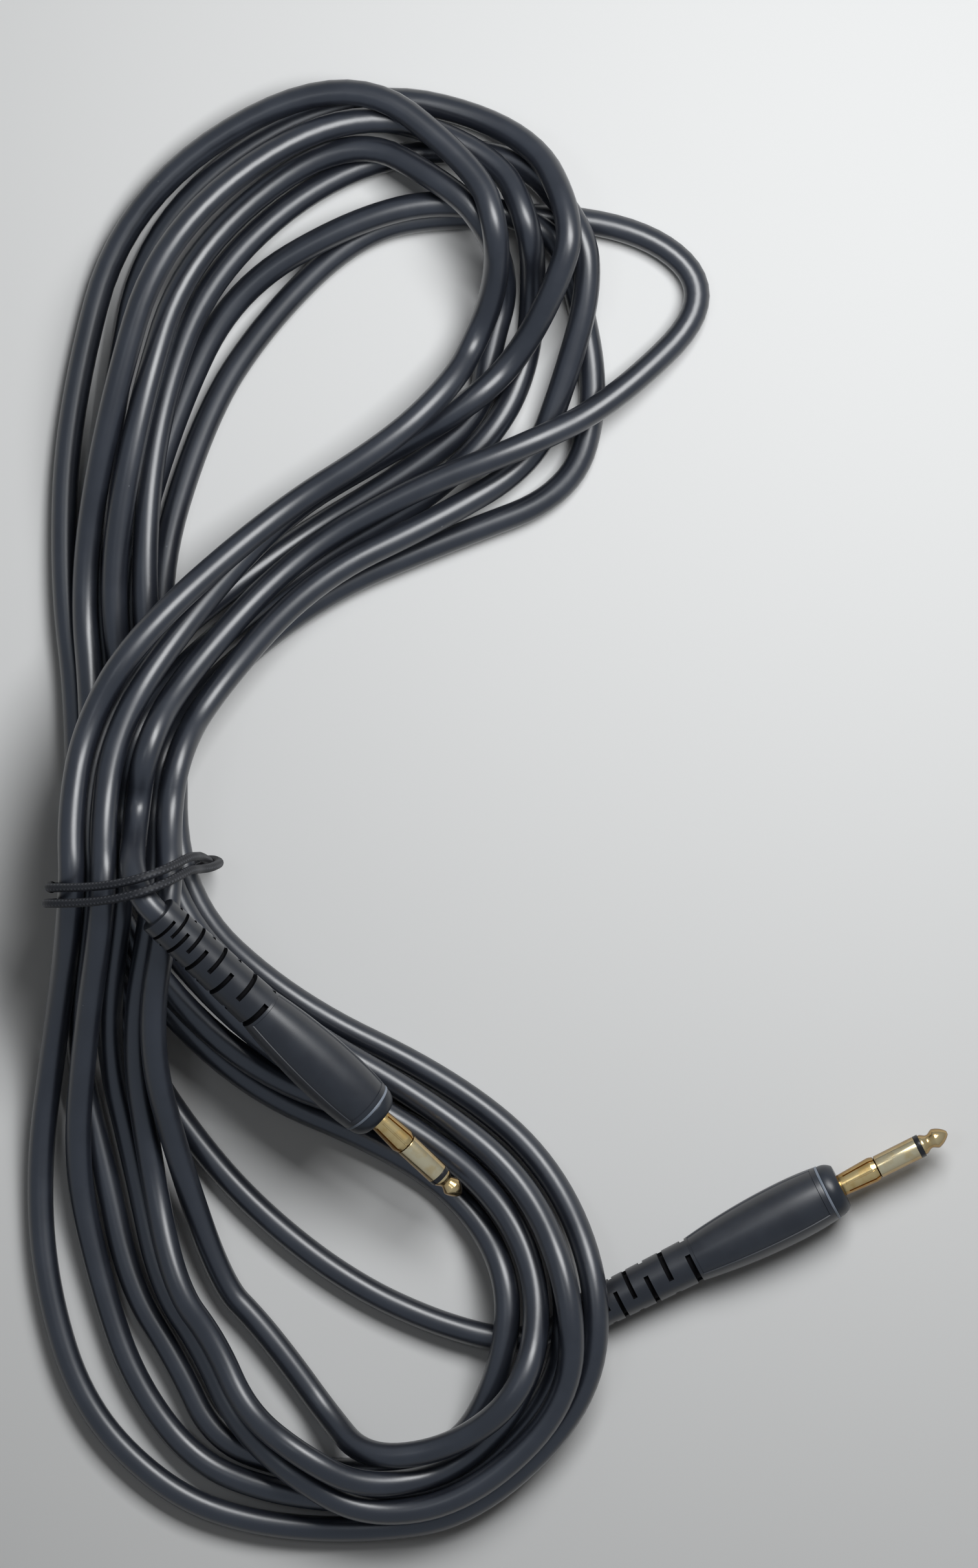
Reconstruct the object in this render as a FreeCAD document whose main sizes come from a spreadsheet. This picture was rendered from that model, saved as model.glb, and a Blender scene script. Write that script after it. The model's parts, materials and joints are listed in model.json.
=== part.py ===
import FreeCAD, Part
import math
import os
import Sketcher

# Instrument cable with two moulded 6.35 mm phone plugs, tied as a figure of eight.
# X is to the right and Y up the hank as it lies. Z is up, from the surface that it lies on.

DRIVING = [
    ("cable_radius", 3.5),
    ("strand_gap", 0.7),
    ("contact_slack", 0.15),
    ("least_gap", 0.95),
    ("tie_packing", 1.12),
    ("flat_depth", 0.5),
    ("shield_radius", 2.5),
    ("insulation_radius", 1.5),
    ("conductor_radius", 0.6),
    ("origin_shift_x", -0.4),
    ("origin_shift_y", 2.1),
    ("shaft_length", 31.75),
    ("shaft_radius", 3.175),
    ("shaft_root_radius", 2.4),
    ("shaft_bore_radius", 1.6),
    ("sleeve_tail", 10.0),
    ("sleeve_hub_radius", 4.2),
    ("flange_radius", 6.0),
    ("flange_depth", 1.0),
    ("ring_start", 22.9),
    ("ring_width", 1.3),
    ("insulator_tail", 12.5),
    ("rod_radius", 1.0),
    ("rod_tail", 15.0),
    ("tip_shoulder", 0.6),
    ("tip_neck_length", 1.6),
    ("tip_waist_radius", 1.75),
    ("tip_ball_place", 3.6),
    ("tip_ball_radius", 2.8),
    ("tip_nose_arc", 6.0),
    ("tip_point_radius", 0.5),
    ("spring_length", 10.8),
    ("spring_root_radius", 3.0),
    ("spring_end_radius", 3.55),
    ("spring_bore_radius", 3.0),
    ("spring_seat", 1.6),
    ("spring_step", 1.2),
    ("spring_slot_width", 0.5),
    ("spring_slots", 8),
    ("collar_length", 3.7),
    ("collar_bore_radius", 3.6),
    ("collar_front_radius", 5.9),
    ("collar_radius", 7.45),
    ("collar_arc", 4.5),
    ("marker_width", 0.7),
    ("marker_radius", 7.7),
    ("body_length", 39.5),
    ("body_crown_place", 11.0),
    ("body_crown_radius", 8.4),
    ("body_front_arc", 87.0),
    ("body_rear_radius", 6.25),
    ("body_rear_arc", 177.0),
    ("cavity_radius", 5.7),
    ("cavity_length", 30.0),
    ("liner_radius", 5.2),
    ("relief_length", 38.0),
    ("relief_end_radius", 5.5),
    ("relief_spigot_radius", 4.7),
    ("relief_flange", 1.5),
    ("relief_plain_end", 3.0),
    ("relief_slot_width", 0.9),
    ("relief_slot_depth", 1.4),
    ("relief_slot_arc", 130.0),
    ("relief_slot_roll", 45.0),
    ("relief_slot_rows", 9),
    ("relief_first_pitch", 2.3),
    ("relief_pitch_growth", 1.165),
    ("cup_radius", 1.7),
    ("cup_length", 4.0),
    ("cup_floor", 1.0),
    ("lug_radius", 5.0),
    ("lug_thickness", 0.6),
    ("lug_strip_width", 2.6),
    ("lug_clamp_length", 3.0),
    ("jacket_bare", 6.0),
    ("shield_bare", 1.5),
    ("insulation_bare", 4.0),
    ("tie_radius", 1.1),
    ("tie_pitch", 4.2),
    ("tie_close", 3.4),
    ("tie_left", -118.0),
    ("tie_width", 40.0),
    ("tie_lift", 8.6),
    ("tie_clearance", 1.9),
    ("tie_hop", 3.8),
    ("tie_floor_rise", 4.7),
    ("tie_points", 26),
    ("knot_radius", 1.6),
    ("knot_length", 3.2),
    ("plug_a_exit_x", -86.3),
    ("plug_a_exit_y", -28.8),
    ("plug_a_exit_z", 50.9),
    ("plug_a_heading", -43.3),
    ("plug_a_rise", -15.5),
    ("plug_b_exit_x", 22.0),
    ("plug_b_exit_y", -138.9),
    ("plug_b_exit_z", 5.65),
    ("plug_b_heading", 26.8),
    ("plug_b_rise", 2.65),
]

doc = FreeCAD.newDocument("instrument_cable")
sheet = doc.addObject("Spreadsheet::Sheet", "Sizes")
for row, (alias, value) in enumerate(DRIVING, start=1):
    sheet.set("A%d" % row, alias)
    sheet.set("B%d" % row, str(value))
    sheet.setAlias("B%d" % row, alias)
doc.recompute()
ALIASES = [alias for alias, value in DRIVING]


def size(alias):
    """A driving dimension, read back from the sheet."""
    return float(getattr(sheet, alias))


def worth(sum_of_sizes):
    """The value of a sum of driving dimensions, such as "collar_length + marker_width"."""
    total = 0.0
    sign = 1.0
    for word in sum_of_sizes.split():
        if word in "+-":
            sign = 1.0 if word == "+" else -1.0
            continue
        total += sign * (size(word) if word in ALIASES else float(word))
    return total


def bound(sum_of_sizes):
    """The same sum as an expression on the sheet."""
    return " ".join("Sizes." + word if word in ALIASES else word for word in sum_of_sizes.split())


nodes = {}


def keep(feature, label, placement):
    """Give a finished sub-part its name and its place."""
    feature.Label = label
    feature.Placement = placement
    nodes[label] = feature
    return feature


# Places along the plug's axis: 0 is the collar's front face, the tip is at +X

BODY_FRONT = "0 - collar_length - marker_width"
CAVITY_FRONT = BODY_FRONT + " - flange_depth"
CAVITY_REAR = BODY_FRONT + " - cavity_length"
RELIEF_FLANGE = CAVITY_REAR + " + relief_flange"
BODY_REAR = BODY_FRONT + " - body_length"
CABLE_EXIT = BODY_REAR + " - relief_length"
JACKET_END = RELIEF_FLANGE + " + jacket_bare"
SHIELD_END = JACKET_END + " + shield_bare"
INSULATION_END = SHIELD_END + " + insulation_bare"
CUP_FLOOR = "0 - rod_tail - cup_floor"
RING_END = "ring_start + ring_width"


def ends_near(edge, corner):
    """Which end of an edge, 1 or 2, lies at a corner."""
    first = edge.StartPoint.distanceToPoint(corner)
    second = edge.EndPoint.distanceToPoint(corner)
    return 1 if first < second else 2


def turned(name, outline):
    """A body turned about X. Each corner is (x, r), or (x, r, radius, side) where an arc leads to it."""
    body = doc.addObject("PartDesign::Body", name)
    sketch = body.newObject("Sketcher::SketchObject", name + "_outline")
    plane = [origin for origin in body.Origin.OriginFeatures if origin.Role == "XZ_Plane"][0]
    sketch.AttachmentSupport = [(plane, "")]
    sketch.MapMode = "FlatFace"
    corners = [FreeCAD.Vector(worth(corner[0]), worth(corner[1]), 0) for corner in outline]
    edges = []
    for index, corner in enumerate(outline):
        start = corners[index - 1]
        end = corners[index]
        if len(corner) == 2:
            edges.append(Part.LineSegment(start, end))
        else:
            chord = end - start
            radius = worth(corner[2])
            rise = radius - math.sqrt(radius ** 2 - chord.Length ** 2 / 4)
            side = FreeCAD.Vector(-chord.y, chord.x, 0).normalize() * corner[3]
            middle = (start + end) / 2 + side * rise
            edges.append(Part.Arc(end, middle, start) if corner[3] > 0 else Part.Arc(start, middle, end))
    sketch.addGeometry(edges)
    for index, corner in enumerate(outline):
        here = ends_near(sketch.Geometry[index], corners[index])
        later = (index + 1) % len(outline)
        there = ends_near(sketch.Geometry[later], corners[index])
        sketch.addConstraint(Sketcher.Constraint("Coincident", index, here, later, there))
        for kind, place in (("DistanceX", corner[0]), ("DistanceY", corner[1])):
            number = sketch.addConstraint(Sketcher.Constraint(kind, -1, 1, index, here, worth(place)))
            sketch.setExpression("Constraints[%d]" % number, bound(place))
        if len(corner) > 2:
            number = sketch.addConstraint(Sketcher.Constraint("Radius", index, worth(corner[2])))
            sketch.setExpression("Constraints[%d]" % number, bound(corner[2]))
    turn = body.newObject("PartDesign::Revolution", name + "_turn")
    turn.Profile = sketch
    turn.ReferenceAxis = (sketch, ["H_Axis"])
    turn.Angle = 360
    body.Tip = turn
    return body


def tube_outline(start, end, inner, outer):
    """The outline of a plain tube along the axis."""
    return [(start, inner), (start, outer), (end, outer), (end, inner)]


OUTLINES = {
    "plug_tip": [
        ("0 - rod_tail", "0"),
        ("0 - rod_tail", "rod_radius"),
        (RING_END, "rod_radius"),
        (RING_END, "tip_ball_radius"),
        (RING_END + " + tip_shoulder", "tip_ball_radius"),
        (RING_END + " + tip_shoulder + tip_neck_length", "tip_waist_radius"),
        ("shaft_length - tip_ball_place", "tip_ball_radius"),
        ("shaft_length", "tip_point_radius", "tip_nose_arc", 1),
        ("shaft_length", "0"),
    ],
    "tip_insulator": [
        ("0 - insulator_tail", "rod_radius"),
        ("0 - insulator_tail", "shaft_bore_radius"),
        ("ring_start", "shaft_bore_radius"),
        ("ring_start", "shaft_radius"),
        (RING_END, "shaft_radius"),
        (RING_END, "rod_radius"),
    ],
    "plug_sleeve": [
        ("0 - sleeve_tail", "shaft_bore_radius"),
        ("0 - sleeve_tail", "sleeve_hub_radius"),
        (CAVITY_FRONT, "sleeve_hub_radius"),
        (CAVITY_FRONT, "flange_radius"),
        ("0 - collar_length", "flange_radius"),
        ("0 - collar_length", "collar_bore_radius"),
        ("0", "collar_bore_radius"),
        ("0", "shaft_root_radius"),
        ("spring_length", "shaft_root_radius"),
        ("spring_length + spring_step", "shaft_radius"),
        ("ring_start", "shaft_radius"),
        ("ring_start", "shaft_bore_radius"),
    ],
    "front_collar": [
        ("0 - collar_length", "collar_bore_radius"),
        ("0 - collar_length", "collar_radius"),
        ("0", "collar_front_radius", "collar_arc", 1),
        ("0", "collar_bore_radius"),
    ],
    "marker_ring": tube_outline(BODY_FRONT, "0 - collar_length", "flange_radius", "marker_radius"),
    "body_shell": [
        (BODY_FRONT, "flange_radius"),
        (BODY_FRONT, "marker_radius"),
        (BODY_FRONT + " - body_crown_place", "body_crown_radius", "body_front_arc", -1),
        (BODY_REAR, "body_rear_radius", "body_rear_arc", -1),
        (BODY_REAR, "relief_spigot_radius"),
        (CAVITY_REAR, "relief_spigot_radius"),
        (CAVITY_REAR, "cavity_radius"),
        (CAVITY_FRONT, "cavity_radius"),
        (CAVITY_FRONT, "flange_radius"),
    ],
    "inner_liner": tube_outline(RELIEF_FLANGE, CAVITY_FRONT, "liner_radius", "cavity_radius"),
    "tip_solder_cup": [
        ("0 - rod_tail", "0"),
        ("0 - rod_tail", "cup_radius"),
        ("0 - rod_tail - cup_length", "cup_radius"),
        ("0 - rod_tail - cup_length", "conductor_radius"),
        (CUP_FLOOR, "conductor_radius"),
        (CUP_FLOOR, "0"),
    ],
    "cable_jacket_end": tube_outline(CABLE_EXIT, JACKET_END, "shield_radius", "cable_radius"),
    "cable_shield_end": tube_outline(CABLE_EXIT, SHIELD_END, "insulation_radius", "shield_radius"),
    "core_insulation": tube_outline(CABLE_EXIT, INSULATION_END, "conductor_radius", "insulation_radius"),
    "core_conductor": tube_outline(CABLE_EXIT, CUP_FLOOR, "0", "conductor_radius"),
}

SPRING_OUTLINE = [
    ("0", "shaft_root_radius"),
    ("0", "spring_root_radius"),
    ("spring_length - spring_step", "spring_end_radius"),
    ("spring_length", "shaft_radius"),
    ("spring_length", "spring_bore_radius"),
    ("spring_seat", "shaft_root_radius"),
]

RELIEF_OUTLINE = [
    (CABLE_EXIT, "cable_radius"),
    (CABLE_EXIT, "relief_end_radius"),
    (BODY_REAR, "body_rear_radius"),
    (BODY_REAR, "relief_spigot_radius"),
    (CAVITY_REAR, "relief_spigot_radius"),
    (CAVITY_REAR, "cavity_radius"),
    (RELIEF_FLANGE, "cavity_radius"),
    (RELIEF_FLANGE, "cable_radius"),
]


def spring_slots():
    """Lengthwise cuts from the spring's seat to its free end."""
    cuts = []
    reach = size("spring_end_radius") * 2
    for index in range(int(size("spring_slots"))):
        cut = Part.makeBox(size("spring_length"), size("spring_slot_width"), reach)
        cut.translate(FreeCAD.Vector(size("spring_seat"), -size("spring_slot_width") / 2, 0))
        cut.rotate(FreeCAD.Vector(), FreeCAD.Vector(1, 0, 0), index * 360.0 / size("spring_slots"))
        cuts.append(cut)
    return Part.makeCompound(cuts)


def relief_slots():
    """Rows of part rings, each row turned a quarter from the one before."""
    cuts = []
    rear = worth(CABLE_EXIT)
    place = size("relief_plain_end")
    pitch = size("relief_first_pitch")
    swell = (size("body_rear_radius") - size("relief_end_radius")) / size("relief_length")
    to_axis = FreeCAD.Rotation(FreeCAD.Vector(0, 1, 0), 90)
    for row in range(int(size("relief_slot_rows"))):
        outer = size("relief_end_radius") + swell * place
        for half in range(2):
            ring = Part.makeCylinder(2 * outer, size("relief_slot_width"), FreeCAD.Vector(),
                                     FreeCAD.Vector(0, 0, 1), size("relief_slot_arc"))
            ring = ring.cut(Part.makeCylinder(outer - size("relief_slot_depth"), size("relief_slot_width")))
            turn = size("relief_slot_roll") + 90.0 * row + 180.0 * half - size("relief_slot_arc") / 2
            ring.rotate(FreeCAD.Vector(), FreeCAD.Vector(0, 0, 1), turn)
            spot = FreeCAD.Placement(FreeCAD.Vector(rear + place, 0, 0), to_axis)
            ring.Placement = spot.multiply(ring.Placement)
            cuts.append(ring)
        place += pitch
        pitch *= size("relief_pitch_growth")
    return Part.makeCompound(cuts)


def ground_lug():
    """A washer on the sleeve's hub, with a strip back to a half clamp on the jacket."""
    thick = size("lug_thickness")
    front = -size("sleeve_tail")
    rear = worth(JACKET_END) - size("lug_clamp_length")
    along = FreeCAD.Vector(1, 0, 0)
    washer_place = FreeCAD.Vector(front - thick, 0, 0)
    washer = Part.makeCylinder(size("lug_radius"), thick, washer_place, along)
    washer = washer.cut(Part.makeCylinder(size("shaft_bore_radius"), thick, washer_place, along))
    strip = Part.makeBox(front - rear, size("lug_strip_width"), thick,
                         FreeCAD.Vector(rear, -size("lug_strip_width") / 2, size("cable_radius")))
    clamp_place = FreeCAD.Vector(rear, 0, 0)
    clamp = Part.makeCylinder(size("cable_radius") + thick, size("lug_clamp_length"), clamp_place, along)
    room = 2 * size("lug_radius")
    clamp = clamp.common(Part.makeBox(room, room, room, FreeCAD.Vector(rear, -room / 2, 0)))
    lug = washer.fuse(strip).fuse(clamp)
    jacket = Part.makeCylinder(size("cable_radius"), size("lug_clamp_length"), clamp_place, along)
    return lug.cut(jacket).removeSplitter()


def shaped(name, shape):
    """A feature whose shape is set here."""
    feature = doc.addObject("Part::Feature", name)
    feature.Shape = shape
    return feature


def cut_from(name, base, tool):
    """A cut of one object by another."""
    cut = doc.addObject("Part::Cut", name)
    cut.Base = base
    cut.Tool = tool
    return cut


def plug_axis(letter):
    """The way a plug points, and the place where its cable comes out."""
    heading = math.radians(size("plug_%s_heading" % letter))
    rise = math.radians(size("plug_%s_rise" % letter))
    flat = math.cos(rise)
    along = FreeCAD.Vector(math.cos(heading) * flat, math.sin(heading) * flat, math.sin(rise))
    exit_point = FreeCAD.Vector(size("plug_%s_exit_x" % letter) + size("origin_shift_x"),
                                size("plug_%s_exit_y" % letter) + size("origin_shift_y"),
                                size("plug_%s_exit_z" % letter))
    return along, exit_point


def plug_placement(letter):
    """The plug's own X laid along its axis, its origin at the collar's front face."""
    along, exit_point = plug_axis(letter)
    turn = FreeCAD.Rotation(size("plug_%s_heading" % letter), -size("plug_%s_rise" % letter), 0)
    return FreeCAD.Placement(exit_point - along * worth(CABLE_EXIT), turn)


def make_plug(letter):
    """All pieces of one plug."""
    placement = plug_placement(letter)
    for name, outline in OUTLINES.items():
        keep(turned("%s_%s" % (name, letter), outline), "%s_%s" % (name, letter), placement)
    spring = turned("spring_blank_" + letter, SPRING_OUTLINE)
    spring_tool = shaped("spring_cuts_" + letter, spring_slots())
    keep(cut_from("spring_sleeve_" + letter, spring, spring_tool), "spring_sleeve_" + letter, placement)
    relief = turned("relief_blank_" + letter, RELIEF_OUTLINE)
    relief_tool = shaped("relief_cuts_" + letter, relief_slots())
    keep(cut_from("strain_relief_" + letter, relief, relief_tool), "strain_relief_" + letter, placement)
    keep(shaped("ground_lug_" + letter, ground_lug()), "ground_lug_" + letter, placement)


# The hank's route. A station is a cross line over one lobe: the outermost strand's place, the way in
# towards the others in degrees, how far in each strand lies, and which lies on which, lowest first.
# Where the strands are packed, the distance in is counted in half spacings.

ABOVE_TIE = "dcfegba"
ON_RIGHT = "dcfegba"
ROUND_RIGHT = "gfedcba"
ROUND_TOP = "gfedbca"
ON_LEFT = "gfabdec"
TOP = [
    (-109, -24, 0, dict(a=0, d=1, b=2, c=3, g=4, f=5, e=6), ABOVE_TIE, True),
    (-110, -3, 0, dict(a=0, d=1, b=2, c=3, g=4, f=5, e=6), ABOVE_TIE, True),
    (-106.5, 20, -17, dict(a=0, d=1, b=2, c=3, g=4, f=5, e=6), ABOVE_TIE, True),
    (-93, 44, -42, dict(a=0, d=4.5, b=7.7, c=13, g=16, f=21.5, e=24.5), ABOVE_TIE, False),
    (-57, 77, -60, dict(a=0, b=0.5, d=8.3, g=12, c=16, e=20, f=23.8), ON_RIGHT, False),
    (-26, 96, -55, dict(a=0, b=1.2, d=9, g=13.5, c=17.5, e=24, f=30), ON_RIGHT, False),
    (-10, 111, -40, dict(a=0, b=7, d=11, c=17, g=25, e=30, f=43), ON_RIGHT, False),
    (-2.5, 124, -25, dict(a=0, d=4, b=12, c=15, e=26, f=36, g=40), ON_RIGHT, False),
    (3, 139, -3, dict(a=0, d=3, c=10, b=16, f=22, e=25, g=60), ROUND_RIGHT, False),
    (1, 153, 5, dict(d=0, a=2, c=11, f=17, b=23, e=25, g=40), ROUND_RIGHT, False),
    (-8, 164, 42, dict(g=-8, f=-2.5, d=0, a=8, c=15, e=19, b=26), ROUND_TOP, False),
    (-36, 150, 92, dict(g=2, f=6, e=23, d=31, c=38, b=43, a=48), ROUND_TOP, False),
    (-58, 129, 138, dict(g=1, f=13, e=21, d=29, c=37, b=43, a=52), ROUND_TOP, False),
    (-75, 105, 180, dict(g=0, f=8.5, e=13, d=17.5, b=25.5, c=25.3, a=37), ON_LEFT, False),
    (-89, 60, 180, dict(g=0, e=3, f=7.8, d=11.5, b=15.6, c=19.3, a=24.5), ON_LEFT, False),
    (-109, 25, 0, dict(a=0, c=1, b=2, d=3, f=4, e=5, g=6), ON_LEFT, True),
]
BELOW_TIE = "AWQPSTU"
LOWER_RIGHT = "WAQPUST"
LOWER_LEFT = "AWUSTQP"
BOTTOM = [
    (-109, -24, 0, dict(W=0, S=1, A=2, T=3, Q=4, U=5, P=6), BELOW_TIE, True),
    (-53, -53, 230, dict(P=0, U=4.6, Q=9.3, T=13.9, S=22.5, W=26.6), BELOW_TIE, False),
    (-9, -74, 232, dict(P=0, U=8, Q=8, T=15.8, S=15.8, W=23.6), LOWER_RIGHT, False),
    (18, -97, 210, dict(P=0, U=8, Q=8, T=16, S=16, W=24), LOWER_RIGHT, False),
    (31, -129, 180, dict(P=0, U=8, Q=8, T=16, S=16, W=24), LOWER_RIGHT, False),
    (27, -161, 160, dict(P=0, U=4.5, Q=8.6, S=16.3, T=17, W=24.5), LOWER_RIGHT, False),
    (-3, -190, 105, dict(P=0, U=4.2, Q=8, S=12, W=17, T=19), LOWER_RIGHT, False),
    (-32, -195, 90, dict(P=0, U=4.2, Q=8, S=12, W=15.8, T=19.8), LOWER_RIGHT, False),
    (-63, -193, 56, dict(P=0, Q=10.5, U=18, W=18.5, S=23.8, T=36.2), LOWER_RIGHT, False),
    (-86, -184, 45, dict(P=0, Q=11, W=19, U=26.8, S=31, T=48), LOWER_RIGHT, False),
    (-107.9, -161.7, 27, dict(P=0, Q=15.3, W=28, U=36, S=40, T=52), LOWER_RIGHT, False),
    (-118, -129, 0, dict(P=0, Q=15, W=22.7, U=31, S=35, T=47.5), LOWER_LEFT, False),
    (-120, -97, 0, dict(P=0, Q=10, W=17.7, U=26.3, S=30.5, T=38.5), LOWER_LEFT, False),
    (-115, -62, 0, dict(P=0, W=4.1, Q=8.3, U=13, S=20.8, T=25), LOWER_LEFT, False),
]
# The loops in the order that the cable runs through them, and which strands are one at the tie
LOOPS = "gPaWdTeUcSfQb"
TIE_UPPER = {"P": "a", "Q": "b", "W": "d", "U": "c", "S": "f", "T": "e"}
TIE_LOWER = {"a": "W", "b": "A", "c": "S", "d": "T", "e": "U", "f": "Q", "g": "P"}
# The last pass leaves the tie and runs out to plug B
# It rises off the surface by the third value
TAIL = [(-99.5, -46, 0), (-92.5, -68, 0), (-80.5, -86.5, 0), (-66, -104, 0), (-48.5, -119.5, 0),
        (-31.9, -130.5, 0), (-17, -137.4, 0.3), (-4.4, -141.6, 0.8), (5.4, -143.6, 1.3), (14, -142.9, 1.8)]
HANK_END = 12.0
END_BEND = 3.5
UPPER_ROWS = 7
LEFT_ROWS = 8
STEPS = 8

CABLE_R = size("cable_radius")
SPACING = 2 * CABLE_R + size("strand_gap")
ORIGIN = (size("origin_shift_x"), size("origin_shift_y"))


def strand_place(station, strand):
    """Where a strand crosses a station, on the surface."""
    x, y, way_in, reach, order, packed = station
    inward = reach[strand] * (SPACING / 2 * size("tie_packing") if packed else 1.0)
    turn = math.radians(way_in)
    return x + inward * math.cos(turn) + ORIGIN[0], y + inward * math.sin(turn) + ORIGIN[1]


def lay_out():
    """The route's points on the surface, each with its lobe, row and strand."""
    along, exit_point = plug_axis("a")
    places = []
    tags = []
    for back in (0, 2 * CABLE_R + END_BEND):
        point = exit_point - along * back
        places.append((point.x, point.y))
        tags.append(("top", 0, "g"))
    for strand in LOOPS:
        lobe = "top" if strand.islower() else "bottom"
        for row, station in enumerate(TOP if lobe == "top" else BOTTOM):
            if (row, strand) == (0, LOOPS[0]):
                continue
            places.append(strand_place(station, strand))
            tags.append((lobe, row, strand))
    places.append(strand_place(BOTTOM[0], "A"))
    tags.append(("bottom", 0, "A"))
    for x, y, lift in TAIL:
        places.append((x + ORIGIN[0], y + ORIGIN[1]))
        tags.append(("tail", 1, "A"))
    along, exit_point = plug_axis("b")
    places.append((exit_point.x, exit_point.y))
    tags.append(("tail", 1, "A"))
    return places, tags


def rest_heights(tags):
    """The lowest that the cable's centre can lie at each point."""
    under_tie = CABLE_R + 2 * size("tie_radius") + size("tie_clearance") + size("tie_floor_rise")
    along, exit_point = plug_axis("a")
    heights = []
    for lobe, row, strand in tags:
        if lobe != "tail" and row == 0:
            heights.append(under_tie)
        elif lobe == "tail":
            heights.append(CABLE_R)
        else:
            heights.append(CABLE_R - size("flat_depth"))
    heights[0] = exit_point.z
    heights[1] = exit_point.z - along.z * (2 * CABLE_R + END_BEND)
    for index, (x, y, lift) in enumerate(TAIL):
        heights[index - len(TAIL) - 1] += lift
    heights[-1] = plug_axis("b")[1].z
    return heights


def samples(places):
    """Points along the smooth curve, each with the index and weights of the route's points."""
    found = []
    for index in range(1, len(places) - 1):
        for step in range(STEPS):
            part = step / STEPS
            weights = (0.5 * (1 - part) ** 2, 0.5 + part - part * part, 0.5 * part * part)
            x = sum(w * places[index - 1 + k][0] for k, w in enumerate(weights))
            y = sum(w * places[index - 1 + k][1] for k, w in enumerate(weights))
            found.append((x, y, index, weights))
    return found


def in_upper_layer(tag):
    """Whether a strand is in the upper layer where it nears the tie."""
    lobe, row, strand = tag
    if lobe == "top":
        return row <= UPPER_ROWS
    return lobe == "bottom" and row >= LEFT_ROWS and strand != "A"


def lies_over(first, second):
    """Whether the first strand lies over the second one, or None where the tables don't say."""
    if "tail" in (first[0], second[0]):
        return None if first[0] == second[0] else second[0] == "tail"
    names = [first[2], second[2]]
    if first[0] != second[0]:
        layers = [in_upper_layer(first), in_upper_layer(second)]
        if layers[0] != layers[1]:
            return layers[0]
        alias = TIE_UPPER if layers[0] else TIE_LOWER
        names = [alias.get(name, name) for name in names]
        order = ABOVE_TIE if layers[0] else BELOW_TIE
    elif first[0] == "top" and abs(first[1] - second[1]) > 4:
        return first[1] < second[1]
    elif first[0] == "bottom" and abs(first[1] - second[1]) > 5:
        return first[1] > second[1]
    else:
        order = (TOP if first[0] == "top" else BOTTOM)[min(first[1], second[1])][4]
    ranks = [order.find(name) for name in names]
    if min(ranks) < 0 or ranks[0] == ranks[1]:
        return None
    return ranks[0] > ranks[1]


def close_pairs(found):
    """Pairs of samples on different turns that lie less than a spacing apart, with their distance."""
    cells = {}
    for number, (x, y, index, weights) in enumerate(found):
        cells.setdefault((int(x // SPACING), int(y // SPACING)), []).append(number)
    limit = SPACING - size("contact_slack")
    close = {}
    for number, (x, y, index, weights) in enumerate(found):
        column, line = int(x // SPACING), int(y // SPACING)
        for cell in ((column + i, line + j) for i in (-1, 0, 1) for j in (-1, 0, 1)):
            for other in cells.get(cell, ()):
                if other - number < 3 * STEPS:
                    continue
                apart = math.hypot(found[other][0] - x, found[other][1] - y)
                if apart < limit:
                    close[(number, other)] = apart
    return close


def contacts(found, tags):
    """Each contact as (upper sample, lower sample, height between them), one answer per touching run."""
    close = close_pairs(found)
    grouped = set()
    result = []
    for key in sorted(close):
        if key in grouped:
            continue
        grouped.add(key)
        waiting = [key]
        run = []
        while waiting:
            first, second = waiting.pop()
            run.append((first, second))
            for beside in ((first + i, second + j) for i in (-1, 0, 1) for j in (-1, 0, 1)):
                if beside in close and beside not in grouped:
                    grouped.add(beside)
                    waiting.append(beside)
        vote = 0.0
        for first, second in run:
            answer = lies_over(tags[found[first][2]], tags[found[second][2]])
            if answer is not None:
                vote += (1 if answer else -1) * (SPACING - close[(first, second)])
        for first, second in run:
            upper, lower = (first, second) if vote >= 0 else (second, first)
            result.append((upper, lower, math.sqrt(SPACING ** 2 - close[(first, second)] ** 2)))
    return result


def relief_contacts(found, tags):
    """Contacts with plug B's relief, which lies under the hank's right side."""
    along, exit_point = plug_axis("b")
    result = []
    for number, (x, y, index, weights) in enumerate(found):
        if tags[index][2] == "A":
            continue
        run = (x - exit_point.x) * along.x + (y - exit_point.y) * along.y
        if run < 0 or run > size("relief_length"):
            continue
        apart = abs((x - exit_point.x) * along.y - (y - exit_point.y) * along.x)
        reach = SPACING - CABLE_R + size("body_rear_radius")
        if apart < reach:
            result.append((number, None, exit_point.z + along.z * run + math.sqrt(reach ** 2 - apart ** 2)))
    return result


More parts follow.
